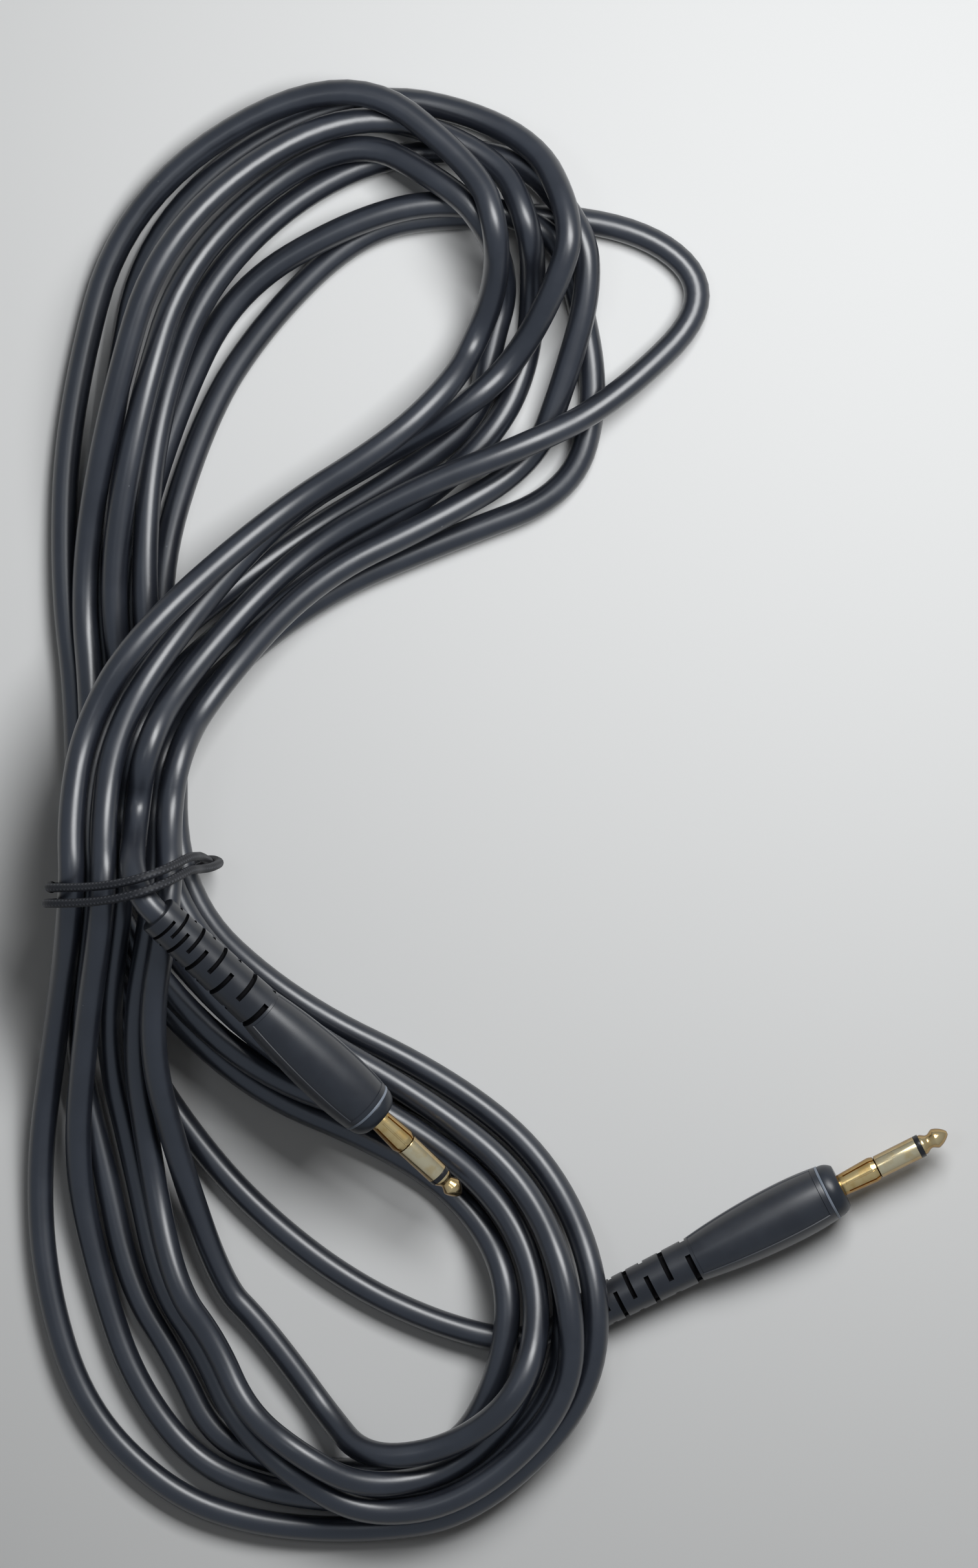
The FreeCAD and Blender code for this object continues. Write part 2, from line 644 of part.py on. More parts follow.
class Pile:
    """The strands as they rest on each other, worked out from where they cross."""

    def __init__(self, places, tags):
        self.found = samples(places)
        self.lowest = rest_heights(tags)
        self.heights = list(self.lowest)
        self.touching = contacts(self.found, tags) + relief_contacts(self.found, tags)

    def level(self, number):
        """The height of the cable's centre at a sample. None stands for the surface."""
        if number is None:
            return 0.0
        index, weights = self.found[number][2:]
        return sum(weight * self.heights[index - 1 + k] for k, weight in enumerate(weights))

    def lift(self):
        """Raise every upper strand until it clears what lies under it."""
        for sweep in range(200):
            worst = 0.0
            for upper, lower, rise in self.touching:
                lack = self.level(lower) + rise - self.level(upper)
                if lack < 0.001:
                    continue
                worst = max(worst, lack)
                index, weights = self.found[upper][2:]
                share = lack / sum(weight * weight for weight in weights)
                for k, weight in enumerate(weights):
                    self.heights[index - 1 + k] += share * weight
            if worst < 0.02:
                break

    def lower(self):
        """Let every strand down as far as what lies under it allows."""
        resting = {}
        for upper, lower, rise in self.touching:
            for k, weight in enumerate(self.found[upper][3]):
                if weight > 0.02:
                    place = self.found[upper][2] - 1 + k
                    resting.setdefault(place, []).append((upper, lower, rise, weight))
        for sweep in range(60):
            moved = 0.0
            for index in sorted(range(len(self.heights)), key=lambda k: self.heights[k]):
                room = self.heights[index] - self.lowest[index]
                for upper, lower, rise, weight in resting.get(index, ()):
                    room = min(room, (self.level(upper) - self.level(lower) - rise) / weight)
                if room > 0.01:
                    self.heights[index] -= room / 2
                    moved = max(moved, room)
            if moved < 0.05:
                break

    def widen(self):
        """Ask for more height where two sloping strands are closer than the smallest gap."""
        want = 2 * CABLE_R + size("least_gap")
        points = [(x, y, self.level(number)) for number, (x, y, index, weights) in enumerate(self.found)]
        changed = False
        for place, (upper, lower, rise) in enumerate(self.touching):
            if lower is None:
                continue
            near = points[max(0, lower - STEPS // 2):lower + STEPS // 2 + 1]
            apart = min(math.dist(points[upper], other) for other in near)
            if apart < want:
                self.touching[place] = (upper, lower, rise + 1.2 * (want - apart))
                changed = True
        return changed


def settle(places, tags):
    """The height of each point of the route, so that every strand rests on what lies under it."""
    pile = Pile(places, tags)
    for turn in range(6):
        pile.lift()
        pile.lower()
        if not pile.widen():
            break
    return pile.heights


def biarc(start, corner, end):
    """Two tangent arcs from start to end, within the corner that their tangents make."""
    into = (corner - start).normalize()
    out = (end - corner).normalize()
    chord = end - start
    both = into + out
    bend = 4 - both.dot(both)
    if bend < 1e-6:
        return [Part.LineSegment(start, end).toShape()], []
    across = chord.dot(both)
    leg = (math.sqrt(across * across + bend * chord.dot(chord)) - across) / bend
    first = start + into * leg
    second = end - out * leg
    joint = (first + second) / 2
    arcs = []
    radii = []
    for tail, crown, head in ((start, first, joint), (joint, second, end)):
        half = (head - tail).Length / (2 * leg)
        middle = (tail + head) / 2
        middle = middle + (crown - middle) * (half / (1 + half))
        arcs.append(Part.Arc(tail, middle, head).toShape())
        radii.append(leg * half / math.sqrt(max(1e-12, 1 - half * half)))
    return arcs, radii


def wound_path(points, straight):
    """Straight ends of the given length, and two arcs round each corner between."""
    ends = [points[0] + (points[1] - points[0]).normalize() * straight]
    for index in range(1, len(points) - 2):
        ends.append((points[index] + points[index + 1]) / 2)
    ends.append(points[-1] + (points[-2] - points[-1]).normalize() * straight)
    edges = [Part.LineSegment(points[0], ends[0]).toShape()]
    radii = []
    for index in range(1, len(points) - 1):
        arcs, bends = biarc(ends[index - 1], points[index], ends[index])
        edges += arcs
        radii += bends
    edges.append(Part.LineSegment(ends[-1], points[-1]).toShape())
    return edges, radii


def run_path(points):
    """Straight runs joined by tangent arcs, each as large as its two runs allow."""
    edges = []
    radii = []
    start = points[0]
    for before, corner, after in zip(points, points[1:], points[2:]):
        into = corner - before
        out = after - corner
        half_turn = into.getAngle(out) / 2
        leg = 0.45 * min(into.Length, out.Length)
        radii.append(leg / math.tan(half_turn))
        tail = corner - into.normalize() * leg
        head = corner + out.normalize() * leg
        middle = (tail + head) / 2
        middle = middle + (corner - middle) * (math.cos(half_turn) / (1 + math.cos(half_turn)))
        edges.append(Part.LineSegment(start, tail).toShape())
        edges.append(Part.Arc(tail, middle, head).toShape())
        start = head
    edges.append(Part.LineSegment(start, points[-1]).toShape())
    return edges, radii


def tube(edges, radius):
    """A solid round tube along joined edges."""
    start = edges[0].Vertexes[0].Point
    along = edges[0].tangentAt(edges[0].FirstParameter)
    ring = Part.Wire([Part.makeCircle(radius, start, along)])
    return Part.Wire(edges).makePipeShell([ring], True, False)


def path_length(edges):
    """The length of joined edges."""
    return sum(edge.Length for edge in edges)


def path_points(edges, step):
    """Points along joined edges, a step apart or closer."""
    points = []
    for edge in edges:
        count = max(2, int(edge.Length / step) + 2)
        points += edge.discretize(count)[:-1]
    points.append(edges[-1].Vertexes[-1].Point)
    return points


def least_gap(edges, radius, step=1.0):
    """The least gap of a tube to itself, from points that are over 3 diameters apart along its path."""
    points = path_points(edges, step)
    places = [0.0]
    for before, after in zip(points, points[1:]):
        places.append(places[-1] + (after - before).Length)
    reach = 3 * radius
    beside = (-1, 0, 1)
    cells = {}
    least = 100.0
    for number, point in enumerate(points):
        key = tuple(int(value // reach) for value in point)
        for near in ((key[0] + i, key[1] + j, key[2] + k) for i in beside for j in beside for k in beside):
            for other in cells.get(near, ()):
                if places[number] - places[other] > 6 * radius:
                    least = min(least, (point - points[other]).Length)
        cells.setdefault(key, []).append(number)
    return least - 2 * radius


# The tie: an elastic cord wound twice round the bundle, its ends in one knot on the left

def tie_line(x):
    """The middle line of the tie, seen from above: level over the left, rising over the right."""
    share = (x - ORIGIN[0] - size("tie_left")) / size("tie_width")
    return BOTTOM[0][1] + ORIGIN[1] + size("tie_lift") * min(1.0, max(0.0, share)) ** 3


def bundle_outline(curve):
    """The strands' outline where the tie passes, as points (x, z) round their closed hull."""
    reach = CABLE_R + size("tie_radius") + size("tie_clearance")
    spots = []
    for point in curve:
        if abs(point.y - tie_line(point.x)) < size("tie_pitch") / 2 + 2 * size("tie_radius"):
            for turn in range(16):
                angle = math.pi * turn / 8
                spots.append((point.x + reach * math.cos(angle), point.z + reach * math.sin(angle)))
    spots.sort()
    hull = []
    for sequence in (spots, spots[::-1]):
        side = []
        for spot in sequence:
            while len(side) > 1 and ((side[-1][0] - side[-2][0]) * (spot[1] - side[-2][1])
                                     - (side[-1][1] - side[-2][1]) * (spot[0] - side[-2][0])) <= 0:
                side.pop()
            side.append(spot)
        hull += side[:-1]
    return hull


def hull_reach(hull, centre, angle):
    """How far the hull reaches from its centre at an angle."""
    ray = (math.cos(angle), math.sin(angle))
    for (x1, z1), (x2, z2) in zip(hull, hull[1:] + hull[:1]):
        side = (x2 - x1, z2 - z1)
        cross = ray[0] * side[1] - ray[1] * side[0]
        if abs(cross) < 1e-9:
            continue
        along = ((x1 - centre[0]) * side[1] - (z1 - centre[1]) * side[0]) / cross
        share = ((x1 - centre[0]) * ray[1] - (z1 - centre[1]) * ray[0]) / cross
        if along > 0 and -1e-9 <= share <= 1 + 1e-9:
            return along
    return 0.0


def tie_offset(turn):
    """How far beside its middle line the tie runs at an angle of its winding, and how far out."""
    wide = size("tie_pitch") / 2
    close = size("tie_close") / 2
    sides = (wide, close, -wide, -close, wide)
    half = min(int(turn / math.pi), 3)
    part = turn - half * math.pi
    if half % 2:
        # The turns change sides below the right edge, and the second one passes outside
        part = min(2 * part, math.pi)
    share = (1 - math.cos(part)) / 2
    hop = size("tie_hop") * math.sin(part) if half == 3 else 0.0
    return sides[half] + (sides[half + 1] - sides[half]) * share, hop


def tie_points(hull):
    """The tie's points: up over the bundle from the left, down, under it, and round once more."""
    centre = (sum(x for x, z in hull) / len(hull), (min(z for x, z in hull) + max(z for x, z in hull)) / 2)
    count = int(size("tie_points"))
    points = []
    for index in range(2 * count + 1):
        turn = 2 * math.pi * index / count
        way = math.pi - turn
        beside, hop = tie_offset(turn)
        reach = hull_reach(hull, centre, way) + hop
        x = centre[0] + reach * math.cos(way)
        points.append(FreeCAD.Vector(x, tie_line(x) + beside, centre[1] + reach * math.sin(way)))
    return points


def make_cable():
    """The hank, the free stretch to plug B and the elastic tie with its knot."""
    places, tags = lay_out()
    points = [FreeCAD.Vector(x, y, height) for (x, y), height in zip(places, settle(places, tags))]
    hank_points = points[:-len(TAIL)]
    turn_out = points[-len(TAIL)]
    last = hank_points[-1]
    joint = last + (turn_out - last).normalize() * HANK_END
    hank_path, hank_radii = wound_path(hank_points + [joint], 2 * CABLE_R)
    tail_path, tail_radii = run_path([joint] + points[-len(TAIL):])
    hank = tube(hank_path, CABLE_R)
    tail = tube(tail_path, CABLE_R)
    box = hank.BoundBox
    wide = 2 * CABLE_R
    corner = FreeCAD.Vector(box.XMin - wide, box.YMin - wide, 0)
    above = Part.makeBox(box.XLength + 2 * wide, box.YLength + 2 * wide, box.ZMax + wide, corner)
    keep(shaped("cable_hank", hank.common(above)), "cable_hank", FreeCAD.Placement())
    keep(shaped("cable_tail", tail), "cable_tail", FreeCAD.Placement())
    curve = path_points(hank_path, 1.0)
    ring = tie_points(bundle_outline(curve))
    half_knot = FreeCAD.Vector(0, 0, size("knot_length") / 2)
    tie_radius = size("tie_radius")
    knot_centre = (ring[0] + ring[-1]) / 2
    lead = FreeCAD.Vector(0, 0, 3 * tie_radius)
    knot_top = knot_centre + half_knot
    knot_foot = knot_centre - half_knot
    ring = [knot_top, knot_top + lead] + ring[2:-2] + [knot_foot - lead, knot_foot]
    tie_path, tie_radii = wound_path(ring, 2 * tie_radius)
    keep(shaped("cable_tie", tube(tie_path, tie_radius)), "cable_tie", FreeCAD.Placement())
    knot = Part.makeCylinder(size("knot_radius"), size("knot_length"), knot_centre - half_knot)
    knot = knot.makeFillet(size("knot_radius") - tie_radius, [knot.Edges[0], knot.Edges[2]])
    keep(shaped("tie_knot", knot), "tie_knot", FreeCAD.Placement())
    for name, path, radius, radii in (("cable_hank", hank_path, CABLE_R, hank_radii),
                                      ("cable_tail", tail_path, CABLE_R, tail_radii),
                                      ("cable_tie", tie_path, tie_radius, tie_radii)):
        length = path_length(path)
        print("%s length %.1f volume %.0f of %.0f radii from %.1f" % (
            name, length, nodes[name].Shape.Volume, math.pi * radius ** 2 * length, min(radii)))
        print("%s radii %s" % (name, " ".join("%.0f" % radius for radius in radii)))
    print("cable_hank least gap to itself %.2f" % least_gap(hank_path, CABLE_R))
    print("cable_tie least gap to itself %.2f" % least_gap(tie_path, tie_radius, 0.3))
    print("cable_tie lowest %.2f" % (min(point.z for point in path_points(tie_path, 0.3)) - tie_radius))
    tie_curve = path_points(tie_path, 0.5)
    print("cable_tie least gap to the hank %.2f" % path_gap(tie_curve, curve, tie_radius + CABLE_R))
    return curve


def path_gap(first, second, radii):
    """The least gap between two tubes, from points along their paths."""
    box = FreeCAD.BoundBox()
    for point in first:
        box.add(point)
    box.enlarge(4 * CABLE_R)
    near = [point for point in second if box.isInside(point)]
    return min((a - b).Length for a in first for b in near) - radii


def plug_gap(letter, curve):
    """The least gap between a plug's outside and the cable, past the plug's own lead."""
    along, exit_point = plug_axis(letter)
    relief = size("relief_length")
    body = relief + size("body_length") + size("collar_length") + size("marker_width")
    least = 100.0
    for point in curve:
        run = (point - exit_point).dot(along)
        if run < 0.1 or run > body + size("shaft_length"):
            continue
        if run < relief:
            swell = size("body_rear_radius") - size("relief_end_radius")
            radius = size("relief_end_radius") + swell * run / relief
        else:
            radius = size("body_crown_radius") if run < body else size("spring_end_radius")
        apart = (point - exit_point - along * run).Length
        least = min(least, apart - radius - CABLE_R)
    return least


def check_and_write():
    """Check every object and shape, then write one file for each node."""
    doc.recompute()
    for feature in doc.Objects:
        if "Invalid" in feature.State or "Error" in feature.State:
            raise RuntimeError("%s failed: %s" % (feature.Name, feature.State))
    os.makedirs("parts", exist_ok=True)
    whole = FreeCAD.BoundBox()
    for label in sorted(nodes):
        shape = nodes[label].Shape
        if shape.isNull() or not shape.isValid() or not shape.Solids:
            raise RuntimeError("%s has no valid solid" % label)
        box = shape.optimalBoundingBox(False, False)
        whole.add(box)
        shape.exportStep("parts/%s.step" % label)
        solids = len(shape.Solids)
        print("%-22s %d solids, volume %.1f, lowest %.3f" % (label, solids, shape.Volume, box.ZMin))
    print("whole", whole, "centre", whole.Center)


make_plug("a")
make_plug("b")
cable_curve = make_cable()
for plug in "ab":
    print("plug %s least gap to the cable %.2f" % (plug, plug_gap(plug, cable_curve)))
check_and_write()
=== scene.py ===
"""An instrument cable in a figure-of-eight hank, with a moulded phone plug on each end.

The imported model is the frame. The cable and its elastic tie are laid here as cords along
the same route as the model's, and the plugs' outer pieces are turned and moulded in full.
"""

import json
import logging
import math
from dataclasses import dataclass, field
from enum import Enum
from typing import Callable, Optional

import bmesh
import bpy
from mathutils import Matrix, Vector

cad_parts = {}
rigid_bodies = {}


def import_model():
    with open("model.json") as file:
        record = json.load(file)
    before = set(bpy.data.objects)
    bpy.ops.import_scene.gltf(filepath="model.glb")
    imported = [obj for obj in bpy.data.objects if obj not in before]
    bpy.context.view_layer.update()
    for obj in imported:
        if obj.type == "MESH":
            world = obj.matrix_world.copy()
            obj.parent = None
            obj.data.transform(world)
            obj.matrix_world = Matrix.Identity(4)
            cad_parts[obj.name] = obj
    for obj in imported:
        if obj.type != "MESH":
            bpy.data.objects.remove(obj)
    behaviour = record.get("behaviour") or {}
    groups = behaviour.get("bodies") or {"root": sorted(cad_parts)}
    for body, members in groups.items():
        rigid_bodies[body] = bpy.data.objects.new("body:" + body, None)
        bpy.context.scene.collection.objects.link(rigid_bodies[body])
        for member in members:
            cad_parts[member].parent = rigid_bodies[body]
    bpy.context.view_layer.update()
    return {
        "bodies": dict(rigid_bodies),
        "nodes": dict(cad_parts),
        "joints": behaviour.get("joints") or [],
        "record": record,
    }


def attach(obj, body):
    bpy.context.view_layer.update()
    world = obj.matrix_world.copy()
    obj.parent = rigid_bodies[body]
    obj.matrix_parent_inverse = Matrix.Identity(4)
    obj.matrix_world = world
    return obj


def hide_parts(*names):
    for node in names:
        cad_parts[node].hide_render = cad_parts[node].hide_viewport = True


LOG = logging.getLogger("instrument_cable")
MM = 0.001

# Corners closer than this many metres are one, and a number under the other is as good as nought.
WELD = 1e-7
TINY = 1e-9

Colour = tuple[float, float, float]
Corner = tuple[float, ...]
Place = tuple[float, float]
Mesh = bmesh.types.BMesh
Piece = bpy.types.Object
Socket = bpy.types.NodeSocket


class Pattern(Enum):
    """What a finish shows up close."""

    MOULDED = "moulded"
    TURNED = "turned"
    WOVEN = "woven"
    BRAIDED = "braided"


@dataclass(frozen=True)
class Finish:
    """One finish, as a maker would order it.

    The broad colour is what handling and wear leave in patches, the grain is in features per metre and its
    depth in metres. The edge colour is painted shade, laid on where the surface turns away from the camera.
    """

    name: str
    colour: Colour
    broad: Colour
    roughness: float
    spread: float
    pattern: Pattern = Pattern.MOULDED
    metallic: float = 0.0
    specular: float = 0.5
    coat: float = 0.0
    coat_roughness: float = 0.1
    grain: float = 5200.0
    depth: float = 0.00002
    specks: float = 0.0
    # painted shade: a darker colour laid on where the surface turns away from the camera
    edge: Optional[Colour] = None


JACKET = Finish("jacket_satin", (0.0105, 0.0125, 0.0185), (0.016, 0.019, 0.027), 0.37, 0.06, specular=0.6,
                coat=0.65, coat_roughness=0.33, grain=2600.0, depth=0.000012, specks=0.010)
BODY = Finish("body_matte", (0.0095, 0.0105, 0.0145), (0.014, 0.016, 0.021), 0.42, 0.06, coat=0.50,
              coat_roughness=0.32, specks=0.008)
RELIEF = Finish("relief_matte", (0.0095, 0.0105, 0.014), (0.015, 0.017, 0.022), 0.40, 0.06, coat=0.40,
                coat_roughness=0.30, grain=4200.0, specks=0.010)
COLLAR = Finish("collar_dark_grey", (0.013, 0.016, 0.022), (0.019, 0.023, 0.031), 0.36, 0.06,
                depth=0.000015, specks=0.006)
# Painted shade: a near-black, dull finish laid on the floors and walls of the relief's slots.
SLOT_SHADE = Finish("slot_painted_shade", (0.004, 0.004, 0.005), (0.006, 0.006, 0.007), 0.85, 0.06, specular=0.1,
              grain=4200.0, depth=0.00001)
MARKER = Finish("marker_pale_grey", (0.22, 0.25, 0.30), (0.16, 0.19, 0.23), 0.4, 0.05, depth=0.000012)
INSULATOR = Finish("insulator_black", (0.008, 0.008, 0.009), (0.012, 0.012, 0.013), 0.24, 0.05,
                   depth=0.000008)
# The gold finishes' edge colours are painted shade that darkens each piece where it turns away from the
# camera.
GOLD = Finish("gold_polished", (0.88, 0.66, 0.34), (0.74, 0.50, 0.21), 0.17, 0.07, Pattern.TURNED,
              metallic=1.0, grain=16000.0, depth=0.0000025, edge=(0.16, 0.075, 0.02))
GOLD_SLEEVE = Finish("gold_sleeve", (0.90, 0.75, 0.46), (0.80, 0.60, 0.30), 0.17, 0.06, Pattern.TURNED,
                     metallic=1.0, grain=16000.0, depth=0.0000025, edge=(0.20, 0.10, 0.025))
GOLD_SPRING = Finish("gold_spring", (0.88, 0.64, 0.29), (0.72, 0.47, 0.17), 0.20, 0.07, Pattern.TURNED,
                     metallic=1.0, grain=14000.0, depth=0.000004, edge=(0.16, 0.07, 0.015))
LUG = Finish("lug_tinned", (0.62, 0.58, 0.50), (0.5, 0.46, 0.38), 0.35, 0.08, metallic=1.0, grain=6000.0,
             depth=0.00001)
LINER = Finish("liner_natural", (0.66, 0.65, 0.6), (0.6, 0.58, 0.52), 0.45, 0.05, grain=3000.0)
SHIELD = Finish("shield_copper", (0.72, 0.42, 0.26), (0.5, 0.28, 0.17), 0.34, 0.08, Pattern.BRAIDED,
                metallic=1.0, grain=2400.0, depth=0.00006)
CORE = Finish("core_white", (0.72, 0.72, 0.69), (0.66, 0.65, 0.6), 0.4, 0.05, grain=3000.0)
CONDUCTOR = Finish("conductor_copper", (0.75, 0.42, 0.26), (0.58, 0.32, 0.2), 0.28, 0.06, Pattern.TURNED,
                   metallic=1.0, grain=9000.0, depth=0.000006)
ELASTIC = Finish("elastic_cover", (0.011, 0.0115, 0.014), (0.075, 0.078, 0.088), 0.62, 0.08, Pattern.WOVEN,
                 specular=0.4, depth=0.00008)
DUST: Colour = (0.14, 0.15, 0.165)
DUST_SCALE = 420.0
DUST_SIZE = 0.2
DUST_SHARPNESS = 12.0
# The blend of the painted edge shade.
EDGE_SHADE_BLEND = 0.62
THREADS_ALONG = 260.0
THREADS_ROUND = 5.0
THREAD_HEIGHT = 0.4
RIB_HEIGHT = 0.6


class Wiring:
    """A node tree as it is wired up."""

    def __init__(self, tree: bpy.types.NodeTree) -> None:
        """Take a material's, world's or group's own tree."""
        self.tree = tree

    def feed(self, sockets: bpy.types.NodeInputs, values: dict) -> None:
        """Link or set some of a node's inputs.

        Args:
            sockets: the node's inputs.
            values: for an input's name or number, another node's socket or a plain value.
        """
        for name, value in values.items():
            if isinstance(value, Socket):
                self.tree.links.new(value, sockets[name])
            else:
                sockets[name].default_value = value

    def add(self, kind: str, values: Optional[dict] = None, **settings: object) -> bpy.types.NodeOutputs:
        """Add a node.

        Args:
            kind: the node's type, without its prefix.
            values: what its inputs get, as for feed.
            settings: properties set on the node before that.

        Returns:
            The new node's outputs.
        """
        node = self.tree.nodes.new("ShaderNode" + kind)
        for name, value in settings.items():
            setattr(node, name, value)
        self.feed(node.inputs, values or {})
        return node.outputs

    def calc(self, operation: str, first: object, second: object = 0.0, clamp: bool = False) -> Socket:
        """Join two sockets or numbers with a Math node, and return the socket of the result."""
        return self.add("Math", {0: first, 1: second}, operation=operation, use_clamp=clamp)[0]

    def mix(self, share: Socket, under: object, over: Colour) -> Socket:
        """Lay a plain colour over another by a share, and return the socket of the result."""
        values = {"Factor": share, "A": under, "B": (*over, 1.0)}
        return self.add("Mix", values, data_type="RGBA")["Result"]


class Effects:
    """The shared effects, each a node group that is built once."""

    def __init__(self) -> None:
        """Build every group."""
        self.grain = self._surface("moulded_grain", False)
        self.rings = self._surface("turned_rings", True)
        self.specks = self._specks()
        self.weave = self._weave()

    @staticmethod
    def _open(name: str, takes: str) -> tuple[Wiring, bpy.types.NodeOutputs]:
        """Start a group.

        Args:
            name: the group's name.
            takes: the names of its inputs, all of them floats apart from Vector.

        Returns:
            The wiring and the sockets of the inputs.
        """
        tree = bpy.data.node_groups.new(name, "ShaderNodeTree")
        for label in takes.split():
            kind = "NodeSocketVector" if label == "Vector" else "NodeSocketFloat"
            tree.interface.new_socket(name=label, in_out="INPUT", socket_type=kind)
        return Wiring(tree), tree.nodes.new("NodeGroupInput").outputs

    @staticmethod
    def _close(wiring: Wiring, gives: dict[str, Socket]) -> bpy.types.NodeTree:
        """Give a group its outputs.

        Args:
            wiring: the group's wiring.
            gives: each output's name, with the socket that it passes on.

        Returns:
            The finished group.
        """
        for label in gives:
            wiring.tree.interface.new_socket(name=label, in_out="OUTPUT", socket_type="NodeSocketFloat")
        wiring.feed(wiring.tree.nodes.new("NodeGroupOutput").inputs, gives)
        return wiring.tree

    def _surface(self, name: str, turned: bool) -> bpy.types.NodeTree:
        """Fine grain, or the rings that a lathe leaves round the X axis, with broad patches of wear.

        Args:
            name: the group's name.
            turned: whether it has rings.

        Returns:
            The group.
        """
        broadness, low, high, middle, mottle = (
            (0.02, 0.42, 0.72, 0.0, 0.0) if turned else (0.03, 0.35, 0.68, 0.5, 0.08)
        )
        wiring, given = self._open(name, "Vector Scale Roughness Spread")
        place, scale = given["Vector"], given["Scale"]
        if turned:
            values = {"Detail": 2.0, "W": wiring.add("SeparateXYZ", {"Vector": place})["X"], "Scale": scale}
            fine = wiring.add("TexNoise", values, noise_dimensions="1D")["Fac"]
        else:
            fine = wiring.add("TexNoise", {"Detail": 3.0, "Vector": place, "Scale": scale})["Fac"]
        broad_scale = wiring.calc("MULTIPLY", scale, broadness)
        broad = wiring.add("TexNoise", {"Detail": 4.0, "Vector": place, "Scale": broad_scale})["Fac"]
        values = {"From Min": low, "From Max": high, "Value": broad}
        patches = wiring.add("MapRange", values, interpolation_type="SMOOTHSTEP")["Result"]
        offset = wiring.calc("MULTIPLY", wiring.calc("SUBTRACT", patches, middle), given["Spread"])
        grain = wiring.calc("MULTIPLY", wiring.calc("SUBTRACT", fine, 0.5), mottle)
        level = wiring.calc("ADD", wiring.calc("ADD", given["Roughness"], offset), grain, clamp=True)
        return self._close(wiring, {"Roughness": level, "Height": fine, "Patches": patches})

    def _specks(self) -> bpy.types.NodeTree:
        """Sparse specks of dust, each in its own cell.

        Returns:
            The group.
        """
        wiring, given = self._open("dust_specks", "Vector Scale Amount")
        cells = wiring.add("TexVoronoi", {"Vector": given["Vector"], "Scale": given["Scale"]})
        parts = wiring.add("SeparateColor", {"Color": cells["Color"]})
        chosen = wiring.calc("LESS_THAN", parts["Red"], given["Amount"])
        size = wiring.calc("MULTIPLY", parts["Green"], DUST_SIZE)
        inside = wiring.calc("SUBTRACT", size, cells["Distance"])
        edge = wiring.calc("MULTIPLY", inside, DUST_SHARPNESS, clamp=True)
        return self._close(wiring, {"Mask": wiring.calc("MULTIPLY", edge, chosen)})

    def _weave(self) -> bpy.types.NodeTree:
        """Two sets of threads that cross, on a pattern that runs along X and round Y.

        Returns:
            The group.
        """
        wiring, given = self._open("woven_cover", "Vector Along Round")
        parts = wiring.add("SeparateXYZ", {"Vector": given["Vector"]})
        along = wiring.calc("MULTIPLY", parts["X"], given["Along"])
        across = wiring.calc("MULTIPLY", parts["Y"], given["Round"])
        waves = []
        for operation in ("ADD", "SUBTRACT"):
            phase = wiring.calc("MULTIPLY", wiring.calc(operation, along, across), math.pi)
            waves.append(wiring.calc("ABSOLUTE", wiring.calc("SINE", phase)))
        threads = wiring.calc("MULTIPLY", *waves)
        rib = wiring.calc("COSINE", wiring.calc("MULTIPLY", across, 2 * math.pi))
        ribs = wiring.calc("MULTIPLY", wiring.calc("ADD", rib, 1.0), 0.5)
        raised = wiring.calc("MULTIPLY", threads, THREAD_HEIGHT)
        height = wiring.calc("ADD", raised, wiring.calc("MULTIPLY", ribs, RIB_HEIGHT))
        return self._close(wiring, {"Height": height, "Threads": wiring.calc("MULTIPLY", threads, ribs)})


